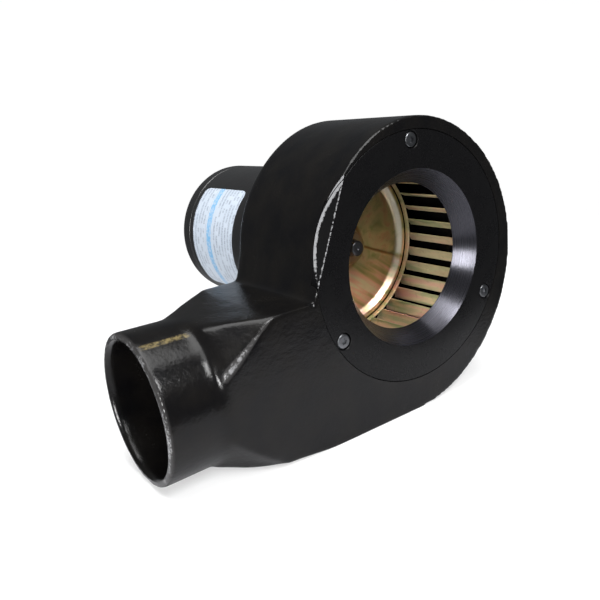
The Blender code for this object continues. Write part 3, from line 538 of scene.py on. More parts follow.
def cover_paint():
    """Matte black coating on a turned face, with faint turning rings."""
    paint = Paint("cover_paint", Specular_IOR_Level=0.17)
    rings = turning_rings(paint, 0.35, 3.0, 0.6)
    patches = paint.noise(11, 3)
    specks = paint.noise(0.8, 3, 0.7)
    colour = paint.mix(patches, (0.0026, 0.0026, 0.0030), (0.0042, 0.0040, 0.0042))
    fine = paint.levels(specks, 0.3, 0.7, -0.03, 0.03)
    rough = paint.maths("ADD", paint.levels(patches, 0.3, 0.7, 0.25, 0.32), fine)
    paint.bump(rings, 0.010)
    paint.bump(specks, 0.020)
    return paint.done(Base_Color=colour, Roughness=rough)


def bevel_paint():
    """Turned and lacquered bevel of the inlet, whose fine rings draw highlights across it."""
    paint = Paint("bevel_paint", Metallic=0.9, Anisotropic=0.85, Anisotropic_Rotation=0.25)
    rings = turning_rings(paint, 0.30, 4.0, 0.7)
    patches = paint.noise(9, 3)
    colour = paint.mix(patches, (0.045, 0.045, 0.054), (0.065, 0.064, 0.074))
    rough = paint.levels(rings, 0.3, 0.7, 0.24, 0.32)
    paint.bump(rings, 0.0030)
    round_way = paint.add("ShaderNodeTangent", {"direction_type": "RADIAL", "axis": "Y"})
    return paint.done(Base_Color=colour, Roughness=rough, Tangent=round_way)


def ring_radius(paint):
    """Distance from the shaft's axis."""
    flat = paint.stretched((1, 0, 1))
    return paint.add("ShaderNodeVectorMath", {"operation": "LENGTH"}, "Value", i0=flat)


def turning_rings(paint, size, detail, rough):
    """Noise that changes only with the distance from the shaft's axis, over a size in millimetres."""
    return paint.add("ShaderNodeTexNoise", {"noise_dimensions": "1D"}, W=ring_radius(paint),
                     Scale=1 / (size * MM), Detail=detail, Roughness=rough)


def zinc_film(name, metallic):
    """Yellow passivated zinc: an interference film over the metal, rosier on the lower side."""
    paint = Paint(name, Metallic=metallic)
    film = paint.add("ShaderNodeTexNoise", Vector=paint.stretched((1, 0.35, 1)), Scale=1 / (9 * MM),
                     Detail=2.0, Roughness=0.5, Distortion=0.6)
    colour = paint.ramp(film, ZINC_TINTS)
    bands = paint.ramp(paint.noise(4, 2, 0.5, (1, 0.12, 1)), ZINC_LOW_TINTS)
    colour = paint.mix(paint.levels(paint.axes()[2], -10 * MM, -34 * MM, 0, 0.75), colour, bands)
    brown = paint.levels(paint.noise(2.5, 4, 0.65), 0.55, 0.78, 0, 0.4)
    colour = paint.mix(brown, colour, (0.30, 0.18, 0.08))
    rough = paint.uneven(3, 0.30, 0.44)
    paint.bump(paint.noise(7, 2), 0.05)
    paint.bump(paint.noise(0.6, 2, 0.6), 0.010)
    return paint, colour, rough


def yellow_zinc():
    paint, colour, rough = zinc_film("yellow_zinc", 0.45)
    return paint.done(Base_Color=colour, Roughness=rough)


def plate_zinc():
    """The same film, with a painted highlight on the plate's step, browned along its crease and boss, and
    painted reflections of the blades on its lower part.
    """
    paint, colour, rough = zinc_film("plate_zinc", 0.95)
    x, y, z = paint.axes()
    radius = ring_radius(paint)
    off_step = paint.apart(radius, STEP_RADIUS)
    above_slope = paint.maths("SUBTRACT", z, paint.times(x, CREASE_SLOPE))
    off_crease = paint.apart(above_slope, CREASE_Z)
    # Painted highlight on the step: a pale band, broken at the crease and fading to the left and towards the
    # bottom.
    pale = paint.times(paint.levels(off_step, 0.7 * MM, 1.7 * MM, 1, 0),
                       paint.levels(paint.noise(3, 3), 0.3, 0.6, 0.75, 1))
    gap = paint.levels(off_crease, 1.2 * MM, 2.6 * MM)
    gap = paint.maths("MAXIMUM", gap, paint.levels(x, 0, 1 * MM, 1, 0))
    pale = paint.times(pale, gap)
    pale = paint.times(pale, paint.levels(x, 12 * MM, 26 * MM, 0.25, 1))
    pale = paint.times(pale, paint.levels(z, -16 * MM, -27 * MM, 1, 0.2))
    colour = paint.mix(pale, colour, (0.92, 0.86, 0.70))
    # Brown along the crease, round the boss and where the hub meets the plate.
    crease = paint.times(paint.levels(off_crease, 0.3 * MM, 1.3 * MM, 1, 0),
                         paint.levels(x, 10 * MM, 13 * MM))
    off_boss = paint.apart(radius, BOSS_RADIUS)
    boss = paint.levels(off_boss, 0.5 * MM, 2.2 * MM, 1, 0)
    boss = paint.maths("MAXIMUM", boss, paint.levels(radius, 9 * MM, 9.6 * MM, 0.7, 0))
    brown_lines = paint.maths("MAXIMUM", crease, boss)
    colour = paint.mix(paint.times(brown_lines, 0.8), colour, (0.32, 0.15, 0.05))
    # Painted reflections of the blades: pink and pale bands sloping across the plate's lower part.
    turned_place = paint.add("ShaderNodeMapping", Vector=paint.place, Rotation=(0, BLADE_REFLECTION_TURN, 0))
    flowing = paint.add("ShaderNodeMapping", Vector=turned_place, Scale=(0.10, 1, 1))
    blade_reflections = paint.add("ShaderNodeTexNoise", Vector=flowing, Scale=1 / (5 * MM), Detail=2.0)
    reflection_share = paint.times(paint.levels(z, -9 * MM, -16 * MM), paint.levels(pale, 0, 1, 0.85, 0.2))
    colour = paint.mix(reflection_share, colour, paint.ramp(blade_reflections, PLATE_BLADE_REFLECTIONS))
    rough = paint.maths("ADD", rough, paint.times(pale, 0.14))
    return paint.done(Base_Color=colour, Roughness=rough, Metallic=paint.levels(pale, 0, 1, 0.95, 0.5))


def plain_metal(name, colour, rough, grain=0.4, metallic=1.0, depth=0.006):
    """Metal with a fine grain and slightly uneven polish."""
    paint = Paint(name, Metallic=metallic)
    patches = paint.noise(6, 3)
    base = paint.mix(paint.levels(patches, 0.3, 0.7), colour, tuple(0.75 * c for c in colour))
    gloss = paint.uneven(1.5, rough * 0.85, rough * 1.2)
    paint.bump(paint.noise(grain, 2, 0.6), depth)
    return paint.done(Base_Color=base, Roughness=gloss)


def shell_paint():
    """Semi-gloss black enamel on drawn steel."""
    paint = Paint("shell_paint", Metallic=0.0, Coat_Weight=0.25, Coat_Roughness=0.2)
    patches = paint.noise(18, 3)
    colour = paint.mix(patches, (0.006, 0.006, 0.0065), (0.0105, 0.0100, 0.0100))
    rough = paint.uneven(5, 0.30, 0.40)
    paint.bump(paint.noise(1.3, 2, 0.5), 0.03)
    paint.bump(paint.noise(12, 2, 0.5), 0.12)
    return paint.done(Base_Color=colour, Roughness=rough)


def label_foil():
    """Pale foil with generic printed bars: rows of grey dashes and one blue band."""
    paint = Paint("label_foil", Coat_Weight=0.15, Coat_Roughness=0.25)
    x, y, z = paint.axes()
    round_way = paint.times(paint.maths("ARCTAN2", z, x), MOTOR_RADIUS)
    row = paint.maths("FRACT", paint.maths("DIVIDE", y, LABEL_ROW))
    in_row = paint.levels(paint.apart(row, 0.5), 0.24, 0.30, 1, 0)
    cell = paint.add("ShaderNodeCombineXYZ", X=paint.maths("DIVIDE", round_way, LABEL_WORD),
                     Y=paint.maths("DIVIDE", y, LABEL_ROW))
    cell = paint.add("ShaderNodeVectorMath", {"operation": "FLOOR"}, i0=cell)
    word = paint.add("ShaderNodeTexWhiteNoise", {"noise_dimensions": "2D"}, Vector=cell)
    strokes = paint.levels(paint.noise(0.7, 1, 0.5, (1, 0.5, 1)), 0.42, 0.55, 0.25, 1)
    inked = paint.times(in_row, paint.times(paint.levels(word, 0.30, 0.34), strokes))
    middle = paint.apart(y, LABEL_BAND)
    band = paint.levels(middle, LABEL_BAND_HALF - 0.3 * MM, LABEL_BAND_HALF, 1, 0)
    clear = paint.levels(middle, LABEL_BAND_HALF + 1.0 * MM, LABEL_BAND_HALF + 1.3 * MM)
    colour = paint.mix(paint.noise(7, 3), (0.40, 0.46, 0.53), (0.50, 0.55, 0.62))
    inked = paint.times(inked, paint.times(clear, 0.7))
    colour = paint.mix(inked, colour, (0.20, 0.23, 0.29))
    blotch = paint.levels(paint.noise(1.6, 2), 0.4, 0.6, 0.35, 0.9)
    colour = paint.mix(paint.times(band, blotch), colour, (0.12, 0.34, 0.58))
    paint.bump(paint.noise(6, 2), 0.05)
    return paint.done(Base_Color=colour, Roughness=paint.uneven(3, 0.32, 0.42))


def rubber():
    paint = Paint("grommet_rubber", Metallic=0.0)
    colour = paint.mix(paint.noise(3), (0.012, 0.012, 0.012), (0.022, 0.021, 0.020))
    paint.bump(paint.noise(0.4, 3, 0.7), 0.02)
    return paint.done(Base_Color=colour, Roughness=paint.uneven(1, 0.62, 0.8))


def lamination():
    """Edges of stacked steel sheets."""
    paint = Paint("laminations", Metallic=0.9)
    x, y, z = paint.axes()
    sheet = paint.maths("PINGPONG", y, 0.25 * MM)
    line = paint.levels(sheet, 0.02 * MM, 0.08 * MM)
    colour = paint.mix(line, (0.05, 0.045, 0.04), (0.19, 0.19, 0.20))
    paint.bump(line, 0.03)
    return paint.done(Base_Color=colour, Roughness=paint.uneven(2, 0.45, 0.6))


def copper_wire():
    """Enamelled turns laid round the winding."""
    paint = Paint("copper_wire", Metallic=0.9, Coat_Weight=0.4, Coat_Roughness=0.25)
    wires = paint.add("ShaderNodeTexWave", {"wave_type": "RINGS", "rings_direction": "Y"}, "Fac",
                      Vector=paint.place, Scale=1 / (6.2832 * 0.7 * MM), Distortion=1.5, Detail=2.0)
    colour = paint.mix(wires, (0.30, 0.10, 0.035), (0.62, 0.26, 0.10))
    paint.bump(wires, 0.12)
    return paint.done(Base_Color=colour, Roughness=paint.levels(wires, 0, 1, 0.5, 0.32))


def give(obj, *paints):
    """Replace an object's materials."""
    obj.data.materials.clear()
    for paint in paints:
        obj.data.materials.append(paint)


# ---------------------------------------------------------------- housing

def scroll_radius(angle):
    """Radius of the scroll, by a smooth curve through its 45-degree radii."""
    along = min(max((pi - angle) / SCROLL_STEP, 0), len(SCROLL_RADII) - 1.000001)
    index = int(along)
    part = along - index
    last = len(SCROLL_RADII) - 1
    p0, p1, p2, p3 = (SCROLL_RADII[min(max(index + k, 0), last)] for k in (-1, 0, 1, 2))
    bend = 2 * p0 - 5 * p1 + 4 * p2 - p3
    twist = 3 * (p1 - p2) + p3 - p0
    return p1 + 0.5 * part * (p2 - p0 + part * (bend + part * twist))


def scroll_outline(inset, end, steps=120):
    """Scroll and duct as seen from the inlet, moved inwards by the inset."""
    top = DUCT_CENTRE.z + DUCT_HALF - inset
    bottom = DUCT_CENTRE.z - DUCT_HALF + inset
    end_top = DUCT_CENTRE.z + DUCT_END_HALF - inset
    end_bottom = DUCT_CENTRE.z - DUCT_END_HALF + inset
    first = TONGUE_ANGLE if inset == 0 else pi + asin(-top / (SCROLL_RADII[0] - inset))
    outline = []
    for step in range(steps + 1):
        angle = first + (radians(-90) - first) * step / steps
        x, z = polar(scroll_radius(angle) - inset, angle)
        outline.append((x, max(z, bottom)))
    outline += [(TAPER_START, bottom), (end, end_bottom), (end, end_top), (TAPER_START, top)]
    if inset == 0:
        outline.append((TONGUE_X, top))
    return outline


def block(name, matrix, size):
    body = bmesh.new()
    bmesh.ops.create_cube(body, size=1)
    mesh = bpy.data.meshes.new(name)
    body.to_mesh(mesh)
    body.free()
    mesh.transform(matrix @ Matrix.Diagonal((*size, 1)))
    return place(name, mesh)


def facet_block(sides, inset):
    """Block that cuts one long corner of the duct along its sloping facet."""
    start, end_radius = FACETS[sides]
    diagonal = Vector((0, -1 if "front" in sides else 1, 1 if "top" in sides else -1)).normalized()
    slope = (DUCT_HALF * sqrt(2) - end_radius) / (start - DUCT_END)
    normal = (diagonal - Vector((slope, 0, 0))).normalized()
    along = (Vector((1, 0, 0)) - normal * normal.x).normalized()
    across = normal.cross(along)
    length, _, height = FACET_BLOCK
    middle_x = start - length / 2 * along.x + PAST
    reach = DUCT_HALF * sqrt(2) + slope * (middle_x - start)
    centre = DUCT_CENTRE + Vector((middle_x, 0, 0)) + diagonal * reach + normal * (height / 2 - inset)
    turn = Matrix((along, across, normal)).transposed().to_4x4()
    return block("facet", Matrix.Translation(centre) @ turn, FACET_BLOCK)


def flat_directions():
    outward = Vector((cos(FLAT_ANGLE), 0, sin(FLAT_ANGLE)))
    return outward, (outward - Vector((0, FLAT_SLOPE, 0))).normalized()


def flat_block():
    """Block that grinds the sloping flat on the cover's edge."""
    outward, normal = flat_directions()
    up = Vector((-sin(FLAT_ANGLE), 0, cos(FLAT_ANGLE)))
    across = normal.cross(up)
    size = 60 * MM
    centre = outward * FLAT_DISTANCE + normal * size / 2
    turn = Matrix((up, across, normal)).transposed().to_4x4()
    return block("flat", Matrix.Translation(centre) @ turn, (size, size, size))


def screw_places():
    return [polar(SCREW_PITCH, radians(angle)) for angle in SCREW_ANGLES]


def casting_solid():
    """Outside of the casting, before it is softened."""
    body = prism("housing", scroll_outline(0, DUCT_END), 0, DEPTH)
    rim = body.modifiers.new("Rim", "BEVEL")
    rim.limit_method = "WEIGHT"
    rim.width = REAR_EDGE
    rim.segments = 5
    weights = body.data.attributes.new("bevel_weight_edge", "FLOAT", "EDGE")
    for edge in body.data.edges:
        depths = [body.data.vertices[index].co.y for index in edge.vertices]
        weights.data[edge.index].value = 1.0 if min(depths) > DEPTH - 1e-6 else 0.0
    applied(body)
    cut(body, *[facet_block(sides, 0) for sides in FACETS])
    start = -DUCT_END - TUBE_OVERLAP
    end = -OUTLET_X
    tube = turned("tube", [
        (0, start), (TUBE_ROOT_RADIUS, start), (TUBE_RADIUS, end - 3 * MM), (TUBE_RADIUS, end),
        (0, end)], 128, DUCT_CENTRE, "-X")
    return cut(body, tube, operation="UNION")


def casting_strength(points):
    """How much each place of the casting is smoothed: most at the tongue and the duct's corners."""
    x, y, z = points.T
    root = near(np.abs(x - DUCT_END - 2 * MM), 16 * MM)
    tongue = near(np.hypot(x - TONGUE_X, z - DUCT_CENTRE.z - DUCT_HALF), 22 * MM)
    tongue *= np.clip(y / (8 * MM), 0.2, 1)
    corner = near(np.hypot(x - TAPER_START, z - DUCT_LOW), 24 * MM) * near(y, 20 * MM)
    facet = near(facet_edge_distance(points), 7 * MM)
    return np.clip(0.07 + 0.5 * root + 0.6 * tongue + 0.7 * corner + 0.4 * facet, 0, 0.6)


def root_strength(points):
    """More smoothing where the tube grows out of the duct."""
    return np.minimum(near(np.abs(points[:, 0] - DUCT_END), 10 * MM), 0.6)


def press_corner(body):
    """Round the duct's lower front corner where its facet begins."""
    points, _ = edge_arrays(body.data)
    x, y, z = points.T
    off_edge = np.hypot(y, z - DUCT_LOW)
    depth = 1.6 * MM * np.exp(-((x - TAPER_START) / (15 * MM)) ** 2) * np.exp(-(off_edge / (7 * MM)) ** 2)
    body.data.vertices.foreach_set("co", (points + depth[:, None] * (0, 0.7, 0.7)).ravel())


def facet_edge_distance(points):
    """Distance from the edge between the duct's front and its top facet."""
    start, end_radius = FACETS["front", "top"]
    slope = sqrt(2) * (DUCT_HALF * sqrt(2) - end_radius) / (start - DUCT_END)
    top = Vector((start, 0, DUCT_CENTRE.z + 2 * DUCT_HALF - DEPTH / 2))
    low_end = top + Vector((DUCT_END - start, 0, slope * (DUCT_END - start)))
    run = np.array(low_end - top)
    along = np.clip(((points - np.array(top)) @ run) / (run @ run), 0, 1)
    return np.linalg.norm(points - np.array(top) - along[:, None] * run, axis=1)


def rub_edges_and_paint_highlights(body):
    """Raise the wear on the tube's rim, the facet's edge and the face's lower right edge: partly rubbed
    paint, partly painted highlight and painted reflection.
    """
    points, _ = edge_arrays(body.data)
    x, y, z = points.T
    worn = np.empty(len(points))
    attribute = body.data.attributes["wear"].data
    attribute.foreach_get("value", worn)
    # Tube's rim: pale from wear and from a painted reflection.
    worn = np.maximum(worn, 0.36 * near(x - OUTLET_X, 2.2 * MM))
    # Facet's edge: a painted highlight, wider lower down, partly wear.
    lower = np.clip((DUCT_CENTRE.z + DUCT_HALF - z) / (16 * MM), 0.3, 1)
    facet = near(facet_edge_distance(points), 2.6 * MM * lower)
    worn = np.maximum(worn, 0.46 * facet ** 0.5)
    # Face's lower right edge: a painted reflection of the floor.
    outline = np.hypot(y - 1 * MM, np.hypot(x, z) - [scroll_radius(a) for a in np.arctan2(z, x)])
    skirt = near(outline, 2.4 * MM) * (z < 0) * (x > -2 * MM)
    worn = np.maximum(worn, 0.24 * skirt)
    attribute.foreach_set("value", worn)


def flat_faces(obj):
    """Faces of an object that lie on the ground flat."""
    outward, normal = flat_directions()
    start = outward * FLAT_DISTANCE
    return [face for face in obj.data.polygons
            if face.normal.dot(normal) > 0.99 and abs((face.center - start).dot(normal)) < 0.03 * MM]


def housing():
    """Casting with a fine softened skin, bored, let in for the cover and ground flat."""
    body = casting_solid()
    remesh = body.modifiers.new("Grain", "REMESH")
    remesh.mode = "VOXEL"
    remesh.voxel_size = VOXEL
    applied(body)
    press_corner(body)
    soften(body, 14, casting_strength)
    soften(body, 14, root_strength)
    soften(body, 2, lambda points: np.full(len(points), 0.5))
    mark_wear(body, 0.45 * MM)
    rub_edges_and_paint_highlights(body)
    cavity = prism("cavity", scroll_outline(WALL, DUCT_END + WALL), FRONT_WALL, DEPTH - REAR_WALL)
    cut(cavity, *[facet_block(sides, WALL) for sides in FACETS])
    end = -OUTLET_X
    bore_start = -DUCT_END - TUBE_OVERLAP - WALL
    lip = 1.3 * MM
    bore = turned("bore", [
        (0, bore_start), (BORE_ROOT_RADIUS, bore_start), (BORE_RADIUS, end - 3 * lip),
        (BORE_RADIUS + 0.15 * lip, end - 1.6 * lip), (BORE_RADIUS + 0.5 * lip, end - 0.6 * lip),
        (BORE_RADIUS + 1.2 * lip, end), (BORE_RADIUS + 2.6 * lip, end + PAST), (0, end + PAST)],
        128, DUCT_CENTRE, "-X")
    seat = COVER_RADIUS + GAP
    opening = PLUG_RADIUS + GAP
    pocket = turned("pocket", [
        (0, -PAST), (seat, -PAST), (seat, FLANGE + GAP),
        (opening, FLANGE + GAP), (opening, FRONT_WALL + PAST), (0, FRONT_WALL + PAST)])
    rear = (DEPTH - REAR_WALL - PAST, DEPTH + PAST)
    cut(body, cavity, bore, pocket, turned("spigot", rod(SPIGOT_HOLE, *rear), 96), flat_block())
    for x, z in screw_places():
        drill(body, SCREW_HOLE, FLANGE - PAST, FRONT_WALL + PAST, 24, (x, 0, z))
    for k in range(4):
        x, z = polar(MOTOR_SCREW_PITCH, radians(90 * k))
        drill(body, MOTOR_SCREW_HOLE, *rear, 24, (x, 0, z))
    shade(body, 32)
    give(body, cast_paint(), flat_paint())
    for face in flat_faces(body):
        face.material_index = 1
    return body


# ---------------------------------------------------------------- cover and its screws

def cover():
    """Flange, plug and face in matte black, with materials of their own on the bevel and the flat."""
    soft = 0.25 * MM
    corners = [
        (BEVEL_RADIUS, 0), (COVER_RADIUS, 0), (COVER_RADIUS, FLANGE), (PLUG_RADIUS, FLANGE),
        (PLUG_RADIUS, PLUG_DEPTH), (INLET_RADIUS + THROAT_WIDTHS[0], PLUG_DEPTH),
        (INLET_RADIUS + THROAT_WIDTHS[1], INLET_DEPTH), (INLET_RADIUS, INLET_DEPTH)]
    profile = fillet(corners, [0.15 * MM, soft, 0, 0, soft, soft, soft, 0.4 * MM], 3)
    disc = turned("cover", profile, 256)
    lip = 0.2 * MM
    steps = [
        (0, -PAST), (COUNTERBORE_RADIUS + PAST, -PAST + lip), (COUNTERBORE_RADIUS, lip),
        (COUNTERBORE_RADIUS, COUNTERBORE_DEPTH), (SCREW_HOLE, COUNTERBORE_DEPTH), (SCREW_HOLE, FLANGE + PAST),
        (0, FLANGE + PAST)]
    holes = [turned("hole", steps, 48, (x, 0, z)) for x, z in screw_places()]
    cut(disc, *holes, flat_block())
    shade(disc, 25)
    give(disc, cover_paint(), bevel_paint(), bpy.data.materials["flat_paint"])
    for face in disc.data.polygons:
        radius = hypot(face.center.x, face.center.z)
        face.material_index = int(radius < BEVEL_RADIUS - 0.05 * MM and face.normal.y < -0.2)
    for face in flat_faces(disc):
        face.material_index = 2
    return disc


def socket_screw(name, centre, face, end, head, edges, socket_depth, detail):
    """Socket screw from its head's face to its end; head is the head's radius and height.

    The edges are the roundings of head and end, and the detail is the number of segments
    round the screw and of steps in a rounding.
    """
    way = copysign(1, end - face)
    under = face + way * head[1]
    corners = [
        (0, face), (head[0], face), (head[0], under), (SCREW_RADIUS, under), (SCREW_RADIUS, end), (0, end)]
    profile = fillet(corners, [0, edges[0], 0.1 * MM, 0, edges[1], 0], detail[1])
    screw = turned(name, profile, detail[0], (centre[0], 0, centre[1]))
    hexagon = [Vector(polar(SOCKET_RADIUS, radians(60 * k + 12))) + Vector(centre) for k in range(6)]
    cut(screw, prism("socket", hexagon, *sorted((face - way * PAST, face + way * socket_depth))))
    return shade(screw, 30)


# ---------------------------------------------------------------- wheel

def blade_section():
    """Forward-curved blade with rounded edges, as seen from the inlet."""
    half = BLADE_SHEET / 2
    steps = 10
    inner = BLADE_INNER + half
    outer = BLADE_OUTER - half
    centre_line = [Vector(polar(inner + (outer - inner) * part, -BLADE_LEAN * part ** BLADE_CURVE))
                   for part in (step / steps for step in range(steps + 1))]

    def rounded(point, away):
        """Points round an end of the blade."""
        side = Vector((-away.y, away.x))
        return [point + half * (away * sin(angle) + side * cos(angle))
                for angle in map(radians, (45, 90, 135))]

    left, right = [], []
    for index, point in enumerate(centre_line):
        run = (centre_line[min(index + 1, steps)] - centre_line[max(index - 1, 0)]).normalized()
        side = Vector((-run.y, run.x)) * half
        left.append(point + side)
        right.append(point - side)
    start = (centre_line[0] - centre_line[1]).normalized()
    end = (centre_line[-1] - centre_line[-2]).normalized()
    outline = left + rounded(centre_line[-1], end) + right[::-1] + rounded(centre_line[0], start)
    return [tuple(point) for point in outline]


def blade_strip():
    """Blades between two thin bands; their rear ends stand free outside the rear band."""
    front = low("wheel_blade_cage").y
    overlap = 0.5 * MM
    front_band = (front, front + 1.2 * MM)
    rear_band = (BLADE_END - overlap, BLADE_END + 2.1 * MM)
    lip = 0.2 * MM
    pieces = []
    for k in range(BLADES):
        blade = prism("blade", blade_section(), front_band[1] - overlap, rear_band[1] - lip)
        blade.data.transform(Matrix.Rotation(2 * pi * k / BLADES + BLADE_PHASE, 4, "Y"))
        pieces.append(blade)
    strip = turned("strip", ring(*BAND, *rear_band, lip))
    cut(strip, turned("front_band", ring(*BAND, *front_band, lip)), join("blades", pieces), operation="UNION")
    strip.name = "blade_strip"
    return shade(strip, 40)


def front_hem():
    """Rolled ring over the front of the blades."""
    inner = BLADE_INNER - 0.2 * MM
    skirt = BLADE_OUTER + GAP
    rear = high("wheel_front_hem").y
    sheet = 1.0 * MM
    corners = [
        (inner, WHEEL_FRONT), (WHEEL_RADIUS, WHEEL_FRONT), (WHEEL_RADIUS, rear), (skirt, rear),
        (skirt, WHEEL_FRONT + sheet), (inner, WHEEL_FRONT + sheet)]
    return turned("front_hem", fillet(corners, [0.4 * MM, 0.9 * MM, 0.2 * MM, 0.2 * MM, 0.1 * MM, 0.4 * MM]))


def smooth_step(value):
    part = min(max(value, 0.0), 1.0)
    return part * part * (3 - 2 * part)


def plate_front(radius):
    """Depth of the back plate's front side at a radius: edge, broad step, dish and boss."""
    step = DISH_RADIUS + 1.9 * MM
    dish = DISH_DEPTH * smooth_step((step - radius) / (4.0 * MM))
    bead = 0.35 * MM * exp(-((radius - step) / (1.1 * MM)) ** 2)
    edge = 1.0 * MM * smooth_step((radius - PLATE_EDGE + 1.3 * MM) / (1.3 * MM))
    boss = 1.1 * MM * smooth_step((13.6 * MM - radius) / (1.6 * MM))
    return PLATE_DEPTH + 0.55 * MM + dish - bead - boss + edge


def back_plate():
    """Pressed plate, with a shallow crease from the boss to the step on one side."""
    radii = [HUB_RADIUS + GAP + k * 0.6 * MM for k in range(13)]
    radii += [17 * MM + k * 1.7 * MM for k in range(11)]
    radii += [35.2 * MM + k * 0.36 * MM for k in range(26)]
    front = [(r, plate_front(r)) for r in radii]
    rear = [(r, depth + 0.9 * PLATE_SHEET) for r, depth in front]
    plate = turned("back_plate", front + rear[::-1], 360)
    for vertex in plate.data.vertices:
        x, _, z = vertex.co
        radius = hypot(x, z)
        if x > 0:
            across = (z - CREASE_SLOPE * x - CREASE_Z) / (0.8 * MM)
            ends = smooth_step((radius - 12 * MM) / (3 * MM)) * smooth_step((43 * MM - radius) / (3 * MM))
            vertex.co.y += 0.35 * MM * ends * exp(-across ** 2)
    return plate


def hub():
    """Turned hub with a flange against the plate and a hole for each set screw."""
    shoulder = PLATE_DEPTH + DISH_DEPTH + PLATE_SHEET + GAP
    flange = shoulder + 2 * MM
    bore = SHAFT_RADIUS + GAP
    corners = [
        (bore, HUB_FRONT), (HUB_RADIUS, HUB_FRONT), (HUB_RADIUS, shoulder), (HUB_FLANGE_RADIUS, shoulder),
        (HUB_FLANGE_RADIUS, flange), (HUB_RADIUS, flange), (HUB_RADIUS, HUB_REAR), (bore, HUB_REAR)]
    radii = [0.5 * MM, 1.0 * MM, 0, 0.3 * MM, 0.3 * MM, 0, 0.5 * MM, 0.5 * MM]
    piece = turned("hub", fillet(corners, radii), 96)
    middle = (flange + HUB_REAR) / 2
    for axis in ("X", "-X"):
        drill(piece, SET_SCREW_HOLE, SHAFT_RADIUS - 0.5 * MM, HUB_RADIUS + PAST, 32, (0, middle, 0), axis)
    return shade(piece)


def shaft():
    """Stepped shaft with a rounded, centre-drilled end."""
    front_bearing = high("front_bearing_inner_race").y + GAP
    rear_bearing = low("rear_bearing_inner_race").y - GAP
    end = high("motor_shaft").y
    shoulder = high("motor_shaft").x
    corners = [
        (0, SHAFT_FRONT + 1.6 * MM), (0.9 * MM, SHAFT_FRONT), (SHAFT_RADIUS, SHAFT_FRONT),
        (SHAFT_RADIUS, front_bearing), (shoulder, front_bearing), (shoulder, rear_bearing),
        (SHAFT_RADIUS, rear_bearing), (SHAFT_RADIUS, end), (0, end)]
    radii = [0, 0.2 * MM, 1.1 * MM, 0, 0.2 * MM, 0.2 * MM, 0, 0.5 * MM, 0]
    return turned("shaft", fillet(corners, radii), 64)


# ---------------------------------------------------------------- motor

def front_bell():
    """Smoothly shaded copy of the bell, of which only the edge shows."""
    return shade(place("front_bell", frame["nodes"]["motor_front_bell"].data.copy()), 30)


def motor_shell():
    """Drawn tube with rolled ends and a hole for the cable."""
    inner = MOTOR_RADIUS - SHELL_WALL
    corners = [
        (inner, SHELL_FRONT), (MOTOR_RADIUS, SHELL_FRONT), (MOTOR_RADIUS, SHELL_REAR), (inner, SHELL_REAR)]
    tube = turned("shell", fillet(corners, [0, 0.7 * MM, 0.7 * MM, 0]), 180)
    drill(tube, CABLE_HOLE, inner - 3 * MM, MOTOR_RADIUS + 3 * MM, 48, (0, CABLE_DEPTH, 0), "X")
    return shade(tube)


def grommet():
    """Rubber ring whose flange lies on the outside of the shell."""
    inside = low("cable_grommet").x
    seat = MOTOR_RADIUS + GAP
    outer = high("cable_grommet").x
    bore, neck, flange = 2.5 * MM, 4.5 * MM, 6.5 * MM
    corners = [
        (bore, inside), (neck, inside), (neck, seat), (flange, seat), (flange - GAP, outer - 0.6 * MM),
        (bore, outer)]
    radii = [0.4 * MM, 0.3 * MM, 0, 0.4 * MM, 0.8 * MM, 0.5 * MM]
    return turned("grommet", fillet(corners, radii), 64, (0, CABLE_DEPTH, 0), "X")


def end_cap():
    """Turned cap with rounded rear edge, counterbored for the tie bolts."""
    front = low("rear_end_cap").y
    seam = SHELL_REAR + GAP
    spigot = MOTOR_RADIUS - SHELL_WALL - GAP
    inner = BOLT_PITCH - 3.8 * MM
    floor = MOTOR_REAR - 3.9 * MM
    seat = high("rear_bearing_outer_race").y + 1.6 * MM
    bore = high("rear_bearing_outer_race").z + GAP
    bearing = low("rear_bearing_outer_race").y - GAP
    corners = [
        (0, MOTOR_REAR), (MOTOR_RADIUS, MOTOR_REAR), (MOTOR_RADIUS, seam), (spigot, seam), (spigot, front),
        (inner, front), (inner, floor), (14 * MM, floor), (14 * MM, bearing), (bore, bearing), (bore, seat),
        (0, seat)]
    radii = [0, 3.2 * MM, 0.7 * MM, 0, 0.3 * MM, 0.3 * MM, 0.8 * MM, 0.8 * MM, 0.3 * MM, 0.3 * MM, 0, 0]
    cap = turned("end_cap", fillet(corners, radii, 6), 180)
    under = MOTOR_REAR - BOLT_HEAD_DEPTH - GAP
    mouth = BOLT_COUNTERBORE + GAP
    steps = [
        (0, front - PAST), (BOLT_HOLE, front - PAST), (BOLT_HOLE, under), (BOLT_COUNTERBORE, under),
        (BOLT_COUNTERBORE, MOTOR_REAR - 0.25 * MM), (mouth, MOTOR_REAR + 0.05 * MM),
        (mouth, MOTOR_REAR + PAST), (0, MOTOR_REAR + PAST)]
    for angle in BOLT_ANGLES:
        x, z = polar(BOLT_PITCH, angle)
        cut(cap, turned("hole", steps, 48, (x, 0, z)))
    return shade(cap, 30)


